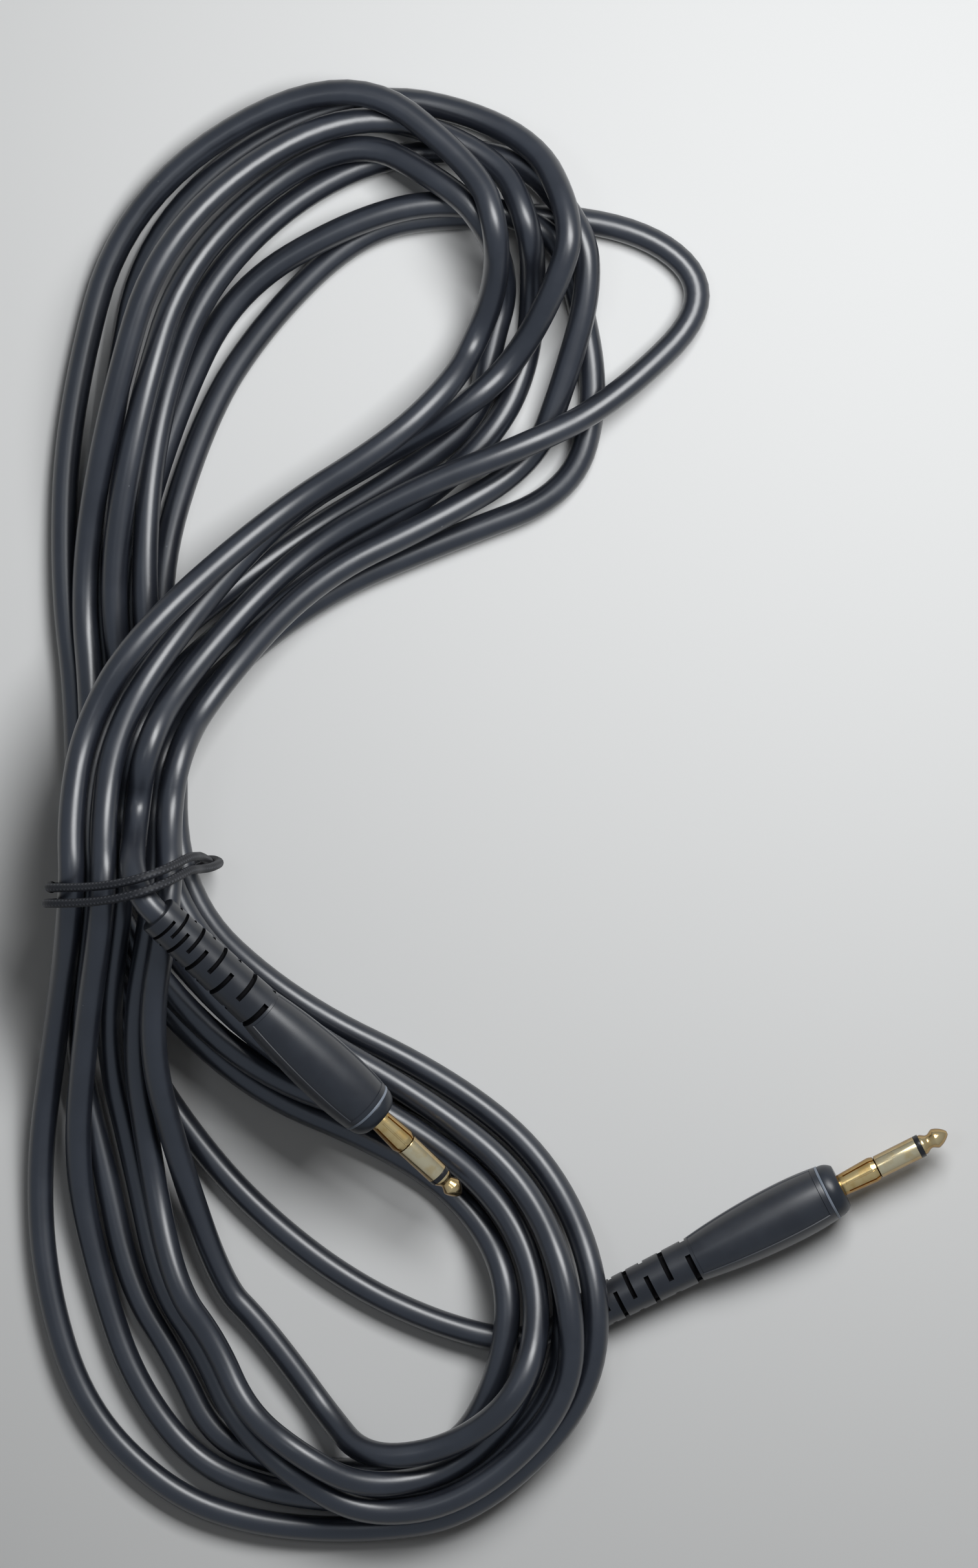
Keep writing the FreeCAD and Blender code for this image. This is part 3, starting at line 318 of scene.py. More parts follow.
class PaintShop:
    """Makes each finish's material, once for each way that its pattern is turned."""

    def __init__(self) -> None:
        """Build the shared effects."""
        self.effects = Effects()
        self.made: dict[str, bpy.types.Material] = {}

    def material(self, finish: Finish, plug: Optional["PlugPlace"] = None) -> bpy.types.Material:
        """The material of a finish.

        Args:
            finish: the finish.
            plug: the plug whose axes a turned or a braided pattern follows.

        Returns:
            The material, made on its first use.
        """
        follows = plug is not None and finish.pattern in (Pattern.TURNED, Pattern.BRAIDED)
        name = finish.name + (plug.mark if follows else "")
        if name not in self.made:
            self.made[name] = self._make(name, finish, plug.axes if follows else None)
        return self.made[name]

    def _make(self, name: str, finish: Finish, turn: Optional[Matrix]) -> bpy.types.Material:
        """Wire one material.

        Args:
            name: the material's name.
            finish: the finish.
            turn: the axes that the pattern follows, or None.

        Returns:
            The material.
        """
        material = bpy.data.materials.new(name)
        material.use_nodes = True
        material.diffuse_color = (*finish.colour, 1.0)
        wiring = Wiring(material.node_tree)
        spot = place = wiring.add("TexCoord")["Object"]
        if turn is not None:
            values = {"Location": turn.to_translation(), "Rotation": turn.to_euler(), "Vector": spot}
            place = wiring.add("Mapping", values, vector_type="TEXTURE")["Vector"]
        fine = self.effects.rings if finish.pattern is Pattern.TURNED else self.effects.grain
        values = {"Scale": finish.grain, "Roughness": finish.roughness, "Spread": finish.spread}
        effect = wiring.add("Group", {**values, "Vector": place}, node_tree=fine)
        share, height = effect["Patches"], effect["Height"]
        if finish.pattern in (Pattern.WOVEN, Pattern.BRAIDED):
            values = {"Vector": spot, "Along": finish.grain, "Round": finish.grain}
            if finish.pattern is Pattern.WOVEN:
                chart = wiring.add("TexCoord")["UV"]
                values = {"Vector": chart, "Along": THREADS_ALONG, "Round": THREADS_ROUND}
            weave = wiring.add("Group", values, node_tree=self.effects.weave)
            share, height = weave["Threads"], weave["Height"]
        colour = wiring.mix(share, (*finish.colour, 1.0), finish.broad)
        # Painted shade: the edge colour darkens the surface where it turns away from the camera.
        if finish.edge:
            edge_shade = wiring.add("LayerWeight", {"Blend": EDGE_SHADE_BLEND})["Facing"]
            colour = wiring.mix(edge_shade, colour, finish.edge)
        if finish.specks:
            values = {"Scale": DUST_SCALE, "Amount": finish.specks, "Vector": place}
            mask = wiring.add("Group", values, node_tree=self.effects.specks)["Mask"]
            colour = wiring.mix(mask, colour, DUST)
        bump = wiring.add("Bump", {"Distance": finish.depth, "Height": height})
        wiring.feed(material.node_tree.nodes["Principled BSDF"].inputs, {
            "Metallic": finish.metallic, "Specular IOR Level": finish.specular, "Coat Weight": finish.coat,
            "Coat Roughness": finish.coat_roughness, "Roughness": effect["Roughness"], "Base Color": colour,
            "Normal": bump["Normal"],
        })
        return material


def add_object(name: str, data: bpy.types.ID) -> Piece:
    """Put a new object into the scene.

    Args:
        name: its name.
        data: its own data.

    Returns:
        The object.
    """
    made = bpy.data.objects.new(name, data)
    bpy.context.scene.collection.objects.link(made)
    return made


def dress(piece: Piece, material: bpy.types.Material) -> None:
    """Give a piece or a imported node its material, in every slot.

    Args:
        piece: the object.
        material: what it is made of.
    """
    if not piece.material_slots:
        piece.data.materials.append(material)
    for place in piece.material_slots:
        place.material = material


def stand_in(piece: Piece, material: bpy.types.Material, slot: str, *nodes: str) -> None:
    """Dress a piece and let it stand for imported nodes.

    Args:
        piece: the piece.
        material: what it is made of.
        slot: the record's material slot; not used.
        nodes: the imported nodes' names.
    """
    dress(piece, material)
    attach(piece, "root")
    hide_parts(*nodes)


def direction(turn: float, rise: float) -> Vector:
    """The way that a turn from X and a rise point, both in degrees."""
    turn, rise = math.radians(turn), math.radians(rise)
    return Vector((math.cos(turn) * math.cos(rise), math.sin(turn) * math.cos(rise), math.sin(rise)))


def finished(mesh: Mesh, name: str, axes: Matrix, crease: float) -> Piece:
    """Turn a bmesh into a piece whose place is in its mesh.

    Args:
        mesh: the bmesh, in the piece's own axes. It is freed here.
        name: the piece's name.
        axes: where those axes lie.
        crease: the angle in degrees from which an edge stays sharp.

    Returns:
        The object, at the origin.
    """
    bmesh.ops.recalc_face_normals(mesh, faces=mesh.faces)
    bmesh.ops.transform(mesh, matrix=axes, verts=mesh.verts)
    data = bpy.data.meshes.new(name)
    mesh.to_mesh(data)
    mesh.free()
    data.shade_smooth()
    data.set_sharp_from_angle(angle=math.radians(crease))
    return add_object(name, data)


def arc_between(start: Place, end: Place, radius: float, side: int, count: int) -> list[Corner]:
    """The corners along an arc, without its start.

    Args:
        start: where it starts, as (x, r).
        end: where it ends.
        radius: its radius.
        side: 1 where it bulges to the left of the way from start to end, or -1.
        count: how many corners it has.

    Returns:
        The corners, the end among them.
    """
    chord = Vector((end[0] - start[0], end[1] - start[1]))
    normal = Vector((-chord.y, chord.x)).normalized() * side
    depth = math.sqrt(radius ** 2 - chord.length_squared / 4)
    centre = (Vector(start) + Vector(end)) / 2 - normal * depth
    first = Vector(start) - centre
    turn = first.angle_signed(Vector(end) - centre)
    corners = []
    for step in range(1, count + 1):
        spoke = first.copy()
        spoke.rotate(Matrix.Rotation(-turn * step / count, 2))
        corners.append((centre.x + spoke.x, centre.y + spoke.y))
    return corners


def lathe(corners: list[Corner], steps: int = 96) -> Mesh:
    """Turn a closed outline about the X axis.

    Args:
        corners: the outline's corners in order, each with its place along X, its radius and,
            where it is bevelled, the bevel's width. All are in millimetres.
        steps: how finely it is rounded.

    Returns:
        The turned bmesh, in the piece's own axes and in metres.
    """
    mesh = bmesh.new()
    spots = [mesh.verts.new(Vector((corner[0], 0, corner[1])) * MM) for corner in corners]
    for first, second in zip(spots, spots[1:] + spots[:1]):
        if first.co.z or second.co.z:
            mesh.edges.new((first, second))
    for spot, corner in zip(spots, corners):
        if len(corner) > 2:
            bmesh.ops.bevel(mesh, geom=[spot], offset=corner[2] * MM, affect="VERTICES", segments=4,
                            profile=0.5, material=-1)
    bmesh.ops.spin(mesh, geom=list(mesh.verts) + list(mesh.edges), cent=(0, 0, 0), axis=(1, 0, 0),
                   angle=2 * math.pi, steps=steps, use_merge=True)
    bmesh.ops.remove_doubles(mesh, verts=mesh.verts, dist=WELD)
    bmesh.ops.recalc_face_normals(mesh, faces=mesh.faces)
    return mesh


def sink(mesh: Mesh, chosen: Callable[[float, float, float], bool], edge: float, depth: float,
         paint: int = 0) -> None:
    """Press a region of a turned skin in.

    Args:
        mesh: the turned bmesh.
        chosen: whether a place along the axis, a radius and an angle in degrees from Y are in it.
        edge: the width of its sloping wall in millimetres.
        depth: how deep it goes, in millimetres.
        paint: which of the piece's materials its floor and its wall get.
    """
    faces = []
    for face in mesh.faces:
        middle = face.calc_center_median() / MM
        if chosen(middle.x, math.hypot(middle.y, middle.z), math.degrees(math.atan2(middle.z, middle.y))):
            faces.append(face)
    walls = bmesh.ops.inset_region(mesh, faces=faces, thickness=edge * MM, depth=-depth * MM,
                                   use_even_offset=True, use_boundary=True)["faces"]
    for face in faces + walls:
        face.material_index = paint


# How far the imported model's origin moves the layout below, in millimetres.
SHIFT: Place = (-0.4, 2.1)

# Which strand lies on which along the lobes, lowest first. The upper lobe's strands have
# small letters and the lower lobe's have capitals.
ABOVE_TIE = ON_RIGHT = "dcfegba"
ROUND_RIGHT = "gfedcba"
ROUND_TOP = "gfedbca"
ON_LEFT = "gfabdec"
BELOW_TIE = "AWQPSTU"
LOWER_RIGHT = "WAQPUST"
LOWER_LEFT = "AWUSTQP"


@dataclass(frozen=True)
class Station:
    """A cross line over one lobe, in millimetres.

    The place is the outermost strand's, the way in is in degrees, and the order says which
    strand lies on which, lowest first. Where the strands are packed, the reach is counted
    in half spacings.
    """

    x: float
    y: float
    way_in: float
    reach: dict[str, float]
    order: str
    packed: bool = False


PACKED = dict(a=0, d=1, b=2, c=3, g=4, f=5, e=6)
LOBES = {
    "top": [
        Station(-109, -24, 0, PACKED, ABOVE_TIE, True),
        Station(-110, -3, 0, PACKED, ABOVE_TIE, True),
        Station(-106.5, 20, -17, PACKED, ABOVE_TIE, True),
        Station(-93, 44, -42, dict(a=0, d=4.5, b=7.7, c=13, g=16, f=21.5, e=24.5), ABOVE_TIE),
        Station(-57, 77, -60, dict(a=0, b=0.5, d=8.3, g=12, c=16, e=20, f=23.8), ON_RIGHT),
        Station(-26, 96, -55, dict(a=0, b=1.2, d=9, g=13.5, c=17.5, e=24, f=30), ON_RIGHT),
        Station(-10, 111, -40, dict(a=0, b=7, d=11, c=17, g=25, e=30, f=43), ON_RIGHT),
        Station(-2.5, 124, -25, dict(a=0, d=4, b=12, c=15, e=26, f=36, g=40), ON_RIGHT),
        Station(3, 139, -3, dict(a=0, d=3, c=10, b=16, f=22, e=25, g=60), ROUND_RIGHT),
        Station(1, 153, 5, dict(d=0, a=2, c=11, f=17, b=23, e=25, g=40), ROUND_RIGHT),
        Station(-8, 164, 42, dict(g=-8, f=-2.5, d=0, a=8, c=15, e=19, b=26), ROUND_TOP),
        Station(-36, 150, 92, dict(g=2, f=6, e=23, d=31, c=38, b=43, a=48), ROUND_TOP),
        Station(-58, 129, 138, dict(g=1, f=13, e=21, d=29, c=37, b=43, a=52), ROUND_TOP),
        Station(-75, 105, 180, dict(g=0, f=8.5, e=13, d=17.5, b=25.5, c=25.3, a=37), ON_LEFT),
        Station(-89, 60, 180, dict(g=0, e=3, f=7.8, d=11.5, b=15.6, c=19.3, a=24.5), ON_LEFT),
        Station(-109, 25, 0, dict(a=0, c=1, b=2, d=3, f=4, e=5, g=6), ON_LEFT, True),
    ],
    "bottom": [
        Station(-109, -24, 0, dict(W=0, S=1, A=2, T=3, Q=4, U=5, P=6), BELOW_TIE, True),
        Station(-53, -53, 230, dict(P=0, U=4.6, Q=9.3, T=13.9, S=22.5, W=26.6), BELOW_TIE),
        Station(-9, -74, 232, dict(P=0, U=8, Q=8, T=15.8, S=15.8, W=23.6), LOWER_RIGHT),
        Station(18, -97, 210, dict(P=0, U=8, Q=8, T=16, S=16, W=24), LOWER_RIGHT),
        Station(31, -129, 180, dict(P=0, U=8, Q=8, T=16, S=16, W=24), LOWER_RIGHT),
        Station(27, -161, 160, dict(P=0, U=4.5, Q=8.6, S=16.3, T=17, W=24.5), LOWER_RIGHT),
        Station(-3, -190, 105, dict(P=0, U=4.2, Q=8, S=12, W=17, T=19), LOWER_RIGHT),
        Station(-32, -195, 90, dict(P=0, U=4.2, Q=8, S=12, W=15.8, T=19.8), LOWER_RIGHT),
        Station(-63, -193, 56, dict(P=0, Q=10.5, U=18, W=18.5, S=23.8, T=36.2), LOWER_RIGHT),
        Station(-86, -184, 45, dict(P=0, Q=11, W=19, U=26.8, S=31, T=48), LOWER_RIGHT),
        Station(-107.9, -161.7, 27, dict(P=0, Q=15.3, W=28, U=36, S=40, T=52), LOWER_RIGHT),
        Station(-118, -129, 0, dict(P=0, Q=15, W=22.7, U=31, S=35, T=47.5), LOWER_LEFT),
        Station(-120, -97, 0, dict(P=0, Q=10, W=17.7, U=26.3, S=30.5, T=38.5), LOWER_LEFT),
        Station(-115, -62, 0, dict(P=0, W=4.1, Q=8.3, U=13, S=20.8, T=25), LOWER_LEFT),
    ],
}

# The strands in the order in which the cable runs through them from plug A. Under the tie one
# lobe's strand runs on as the other's, and so it has two letters there, in each of two layers.
LOOPS = "gPaWdTeUcSfQb"
TIE_UPPER = dict(zip("PQWUST", "abdcfe"))
TIE_LOWER = dict(zip("abcdefg", "WASTUQP"))

# The upper layer holds the upper lobe's rows up to the first number, and the lower lobe's
# rows from the second one.
UPPER_ROWS = 7
LEFT_ROWS = 8

# Rows further apart than this are on a lobe's two sides. Where the sides cross, the upper lobe's
# first rows lie on its last ones, and the lower lobe's last rows lie on its first ones.
FAR_ROWS = {"top": 4, "bottom": 5}

# The free stretch's places on the surface, each with its rise above it, in millimetres.
TAIL = [(-99.5, -46, 0), (-92.5, -68, 0), (-80.5, -86.5, 0), (-66, -104, 0), (-48.5, -119.5, 0),
        (-31.9, -130.5, 0), (-17, -137.4, 0.3), (-4.4, -141.6, 0.8), (5.4, -143.6, 1.3), (14, -142.9, 1.8)]

# How many samples there are on each stretch of the route.
STEPS = 8

Tag = tuple[str, int, str]
Sample = tuple[float, float, int, tuple[float, float, float]]
Contact = tuple[int, Optional[int], float]


@dataclass(frozen=True)
class PlugPlace:
    """Where a plug lies: its cable's exit in millimetres, and its heading and rise in degrees."""

    letter: str
    x: float
    y: float
    z: float
    heading: float
    rise: float
    length: float = 81.9

    @property
    def mark(self) -> str:
        """What the names of its pieces end in."""
        return "_" + self.letter

    @property
    def exit(self) -> Vector:
        """The place where the cable comes out, in millimetres."""
        return Vector((self.x + SHIFT[0], self.y + SHIFT[1], self.z))

    @property
    def along(self) -> Vector:
        """The way that the plug points."""
        return direction(self.heading, self.rise)

    @property
    def axes(self) -> Matrix:
        """The plug's own axes.

        Returns:
            The axes in metres, with X towards the tip and the origin at the collar's front face.
        """
        turn = Matrix.Rotation(math.radians(self.heading), 4, "Z")
        tilt = Matrix.Rotation(-math.radians(self.rise), 4, "Y")
        return Matrix.Translation((self.exit + self.along * self.length) * MM) @ (turn @ tilt)


PLUG_A = PlugPlace("a", x=-86.3, y=-28.8, z=50.9, heading=-43.3, rise=-15.5)
PLUG_B = PlugPlace("b", x=22.0, y=-138.9, z=5.65, heading=26.8, rise=2.65)


def neighbours(column: int, line: int) -> list[tuple[int, int]]:
    """A cell of a grid and its eight neighbours."""
    return [(column + i, line + j) for i in (-1, 0, 1) for j in (-1, 0, 1)]


@dataclass
class HankRoute:
    """The cable's route from plug A to plug B, in millimetres, each strand at rest on the ones below."""

    radius: float = 3.5
    strand_gap: float = 0.7
    contact_slack: float = 0.15
    least_gap: float = 0.95
    tie_packing: float = 1.12
    flat_depth: float = 0.5
    tie_radius: float = 1.1
    tie_clearance: float = 1.9
    tie_floor_rise: float = 4.7
    end_bend: float = 3.5
    relief_length: float = 38.0
    relief_radius: float = 6.25
    least_apart: int = 3
    rounds: int = 6
    lift_rounds: int = 200
    lift_least: float = 0.001
    lift_enough: float = 0.02
    lower_rounds: int = 60
    lower_least: float = 0.01
    lower_enough: float = 0.05
    least_weight: float = 0.02
    overshoot: float = 1.2
    places: list[Place] = field(default_factory=list)
    tags: list[Tag] = field(default_factory=list)
    found: list[Sample] = field(default_factory=list)
    lowest: list[float] = field(default_factory=list)
    heights: list[float] = field(default_factory=list)
    touching: list[Contact] = field(default_factory=list)

    @property
    def spacing(self) -> float:
        """The distance between two strands that lie side by side."""
        return 2 * self.radius + self.strand_gap

    def points(self) -> list[Vector]:
        """Lay the route out and let it settle.

        Returns:
            The route's points in metres, none lower than a cable on the surface.
        """
        self.lay_out()
        self.found = self.samples()
        self.lowest = self.rest_heights()
        self.heights = list(self.lowest)
        self.touching = self.contacts() + self.relief_contacts()
        for _ in range(self.rounds):
            self.lift()
            self.lower()
            if not self.widen():
                break
        route = zip(self.places, self.heights)
        return [Vector((x, y, max(height, self.radius))) * MM for (x, y), height in route]

    def lay_out(self) -> None:
        """Fill in the route's places on the surface, each with its lobe, row and strand."""
        stops = []
        for back in (0, 2 * self.radius + self.end_bend):
            point = PLUG_A.exit - PLUG_A.along * back
            stops.append(((point.x, point.y), ("top", 0, "g")))
        for strand in LOOPS:
            lobe = "top" if strand.islower() else "bottom"
            for row, station in enumerate(LOBES[lobe]):
                if (row, strand) != (0, LOOPS[0]):
                    stops.append((self.crossing(station, strand), (lobe, row, strand)))
        stops.append((self.crossing(LOBES["bottom"][0], "A"), ("bottom", 0, "A")))
        tail = [(x + SHIFT[0], y + SHIFT[1]) for x, y, _ in TAIL] + [(PLUG_B.exit.x, PLUG_B.exit.y)]
        stops += [(place, ("tail", 1, "A")) for place in tail]
        self.places, self.tags = (list(column) for column in zip(*stops))

    def crossing(self, station: Station, strand: str) -> Place:
        """Where a strand crosses a station.

        Args:
            station: the cross line.
            strand: the strand's letter.

        Returns:
            The place on the surface.
        """
        inward = station.reach[strand] * (self.spacing / 2 * self.tie_packing if station.packed else 1.0)
        turn = math.radians(station.way_in)
        return station.x + inward * math.cos(turn) + SHIFT[0], station.y + inward * math.sin(turn) + SHIFT[1]

    def rest_heights(self) -> list[float]:
        """The lowest that the cable's centre can lie.

        Returns:
            The height at each point of the route.
        """
        under_tie = self.radius + 2 * self.tie_radius + self.tie_clearance + self.tie_floor_rise
        heights = []
        for lobe, row, _ in self.tags:
            if lobe == "tail":
                heights.append(self.radius)
            else:
                heights.append(under_tie if row == 0 else self.radius - self.flat_depth)
        heights[0] = PLUG_A.z
        heights[1] = PLUG_A.z - PLUG_A.along.z * (2 * self.radius + self.end_bend)
        for index, (_, _, rise) in enumerate(TAIL):
            heights[index - len(TAIL) - 1] += rise
        heights[-1] = PLUG_B.z
        return heights

    def samples(self) -> list[Sample]:
        """Where the strands are looked at for contact.

        Returns:
            The samples, each with its point of the route and the weights of the points around it.
        """
        found = []
        for index in range(1, len(self.places) - 1):
            for step in range(STEPS):
                part = step / STEPS
                weights = (0.5 * (1 - part) ** 2, 0.5 + part - part * part, 0.5 * part * part)
                x = sum(w * self.places[index - 1 + k][0] for k, w in enumerate(weights))
                y = sum(w * self.places[index - 1 + k][1] for k, w in enumerate(weights))
                found.append((x, y, index, weights))
        return found

    @staticmethod
    def in_upper_layer(tag: Tag) -> bool:
        """Whether a strand is in the upper layer where it nears the tie.

        Args:
            tag: its lobe, row and letter.

        Returns:
            The answer.
        """
        lobe, row, strand = tag
        if lobe == "top":
            return row <= UPPER_ROWS
        return lobe == "bottom" and row >= LEFT_ROWS and strand != "A"

    def lies_over(self, first: Tag, second: Tag) -> Optional[bool]:
        """Whether the first strand lies over the second one.

        Args:
            first: one strand's lobe, row and letter.
            second: the other's.

        Returns:
            The answer, or None where the tables don't say.
        """
        if "tail" in (first[0], second[0]):
            return None if first[0] == second[0] else second[0] == "tail"
        names = [first[2], second[2]]
        if first[0] != second[0]:
            upper = self.in_upper_layer(first)
            if upper != self.in_upper_layer(second):
                return upper
            alias, order = (TIE_UPPER, ABOVE_TIE) if upper else (TIE_LOWER, BELOW_TIE)
            names = [alias.get(name, name) for name in names]
        elif abs(first[1] - second[1]) > FAR_ROWS[first[0]]:
            return (first[1] < second[1]) == (first[0] == "top")
        else:
            order = LOBES[first[0]][min(first[1], second[1])].order
        ranks = [order.find(name) for name in names]
        if min(ranks) < 0 or ranks[0] == ranks[1]:
            return None
        return ranks[0] > ranks[1]

    def close_pairs(self) -> dict[tuple[int, int], float]:
        """Pairs of samples on different turns that lie less than a spacing apart.

        Returns:
            The distance between the two of each pair.
        """
        cells: dict[tuple[int, int], list[int]] = {}
        homes = [(int(x // self.spacing), int(y // self.spacing)) for x, y, _, _ in self.found]
        for number, home in enumerate(homes):
            cells.setdefault(home, []).append(number)
        limit = self.spacing - self.contact_slack
        close = {}
        for number, (x, y, _, _) in enumerate(self.found):
            for cell in neighbours(*homes[number]):
                for other in cells.get(cell, ()):
                    if other - number < self.least_apart * STEPS:
                        continue
                    apart = math.hypot(self.found[other][0] - x, self.found[other][1] - y)
                    if apart < limit:
                        close[(number, other)] = apart
        return close

    def contacts(self) -> list[Contact]:
        """Each contact as its upper sample, its lower one and the height between them.

        Returns:
            The contacts, with one answer for each unbroken run of them.
        """
        close = self.close_pairs()
        grouped = set()
        result = []
        for key in sorted(close):
            if key in grouped:
                continue
            grouped.add(key)
            waiting = [key]
            run = []
            while waiting:
                pair = waiting.pop()
                run.append(pair)
                for beside in neighbours(*pair):
                    if beside in close and beside not in grouped:
                        grouped.add(beside)
                        waiting.append(beside)
            vote = 0.0
            for first, second in run:
                answer = self.lies_over(self.tags[self.found[first][2]], self.tags[self.found[second][2]])
                if answer is not None:
                    vote += (1 if answer else -1) * (self.spacing - close[(first, second)])
            for pair in run:
                upper, lower = pair if vote >= 0 else pair[::-1]
                result.append((upper, lower, math.sqrt(self.spacing ** 2 - close[pair] ** 2)))
        return result

    def relief_contacts(self) -> list[Contact]:
        """Contacts with plug B's relief, which lies under the hank's right side.

        Returns:
            The contacts, each with the height of the strand above the surface.
        """
        along, start = PLUG_B.along, PLUG_B.exit
        result: list[Contact] = []
        reach = self.spacing - self.radius + self.relief_radius
        for number, (x, y, index, _) in enumerate(self.found):
            run = (x - start.x) * along.x + (y - start.y) * along.y
            if self.tags[index][2] == "A" or run < 0 or run > self.relief_length:
                continue
            apart = abs((x - start.x) * along.y - (y - start.y) * along.x)
            if apart < reach:
                result.append((number, None, start.z + along.z * run + math.sqrt(reach ** 2 - apart ** 2)))
        return result

    def level(self, number: Optional[int]) -> float:
        """The height of the cable's centre.

        Args:
            number: the sample's number. None stands for the surface.

        Returns:
            The height.
        """
        if number is None:
            return 0.0
        index, weights = self.found[number][2:]
        return sum(weight * self.heights[index - 1 + k] for k, weight in enumerate(weights))

    def lift(self) -> None:
        """Raise every upper strand until it clears what lies under it."""
        for _ in range(self.lift_rounds):
            worst = 0.0
            for upper, lower, rise in self.touching:
                lack = self.level(lower) + rise - self.level(upper)
                if lack < self.lift_least:
                    continue
                worst = max(worst, lack)
                index, weights = self.found[upper][2:]
                share = lack / sum(weight * weight for weight in weights)
                for k, weight in enumerate(weights):
                    self.heights[index - 1 + k] += share * weight
            if worst < self.lift_enough:
                break

    def lower(self) -> None:
        """Let every strand down as far as what lies under it allows."""
        resting: dict[int, list[tuple[int, Optional[int], float, float]]] = {}
        for upper, lower, rise in self.touching:
            for k, weight in enumerate(self.found[upper][3]):
                if weight > self.least_weight:
                    resting.setdefault(self.found[upper][2] - 1 + k, []).append((upper, lower, rise, weight))
        for _ in range(self.lower_rounds):
            moved = 0.0
            for index in sorted(range(len(self.heights)), key=lambda k: self.heights[k]):
                room = self.heights[index] - self.lowest[index]
                for upper, lower, rise, weight in resting.get(index, ()):
                    room = min(room, (self.level(upper) - self.level(lower) - rise) / weight)
                if room > self.lower_least:
                    self.heights[index] -= room / 2
                    moved = max(moved, room)
            if moved < self.lower_enough:
                break

    def widen(self) -> bool:
        """Ask for more height where two sloping strands are closer than the smallest gap.

        Returns:
            Whether anything was asked for.
        """
        want = 2 * self.radius + self.least_gap
        spots = [(x, y, self.level(number)) for number, (x, y, _, _) in enumerate(self.found)]
        changed = False
        for place, (upper, lower, rise) in enumerate(self.touching):
            if lower is None:
                continue
            near = spots[max(0, lower - STEPS // 2):lower + STEPS // 2 + 1]
            apart = min(math.dist(spots[upper], other) for other in near)
            if apart < want:
                self.touching[place] = (upper, lower, rise + self.overshoot * (want - apart))
                changed = True
        return changed


def cord_object(name: str, points: list[Vector], radius: float, sides: int, steps: int) -> Piece:
    """A round cord along one open smooth spline.

    Args:
        name: the piece's name.
        points: the spline's control points, in metres.
        radius: the cord's radius, in metres.
        sides: how finely the cord is rounded.
        steps: how finely each stretch is divided.

    Returns:
        The curve object.
    """
    curve = bpy.data.curves.new(name, "CURVE")
    curve.dimensions = "3D"
    curve.bevel_depth = 1.0
    curve.bevel_resolution = sides
    curve.use_fill_caps = True
    spline = curve.splines.new("NURBS")
    spline.points.add(len(points) - 1)
    for place, point in zip(spline.points, points):
        place.co = (*point, 1.0)
        place.radius = radius
    spline.order_u = 3
    spline.use_endpoint_u = True
    spline.resolution_u = steps
    return add_object(name, curve)


def centre_line(cord: Piece) -> list[Vector]:
    """The points along a cord's own spline.

    Args:
        cord: the curve object.

    Returns:
        The line's points in order, in metres.
    """
    thick = cord.data.bevel_depth
    cord.data.bevel_depth = 0.0
    bpy.context.view_layer.update()
    line = bpy.data.meshes.new_from_object(cord.evaluated_get(bpy.context.evaluated_depsgraph_get()))
    points = [vertex.co.copy() for vertex in line.vertices]
    bpy.data.meshes.remove(line)
    cord.data.bevel_depth = thick
    return points


@dataclass
class CableHank:
    """The jacketed cable, from one plug's relief to the other's."""

    route: HankRoute = field(default_factory=HankRoute)
    length: float = 6.6
    cord: Optional[Piece] = None

    def build(self, shop: PaintShop, plug: list[Piece]) -> Piece:
        """Lay the cable.

        Args:
            shop: where the materials are made.
            plug: the pieces of the plug on its free end; not used.

        Returns:
            The cord.
        """
        radius = self.route.radius * MM
        self.cord = cord_object("cable_cord", self.route.points(), radius, sides=6, steps=10)
        stand_in(self.cord, shop.material(JACKET), "jacket", "cable_hank", "cable_tail")
        return self.cord


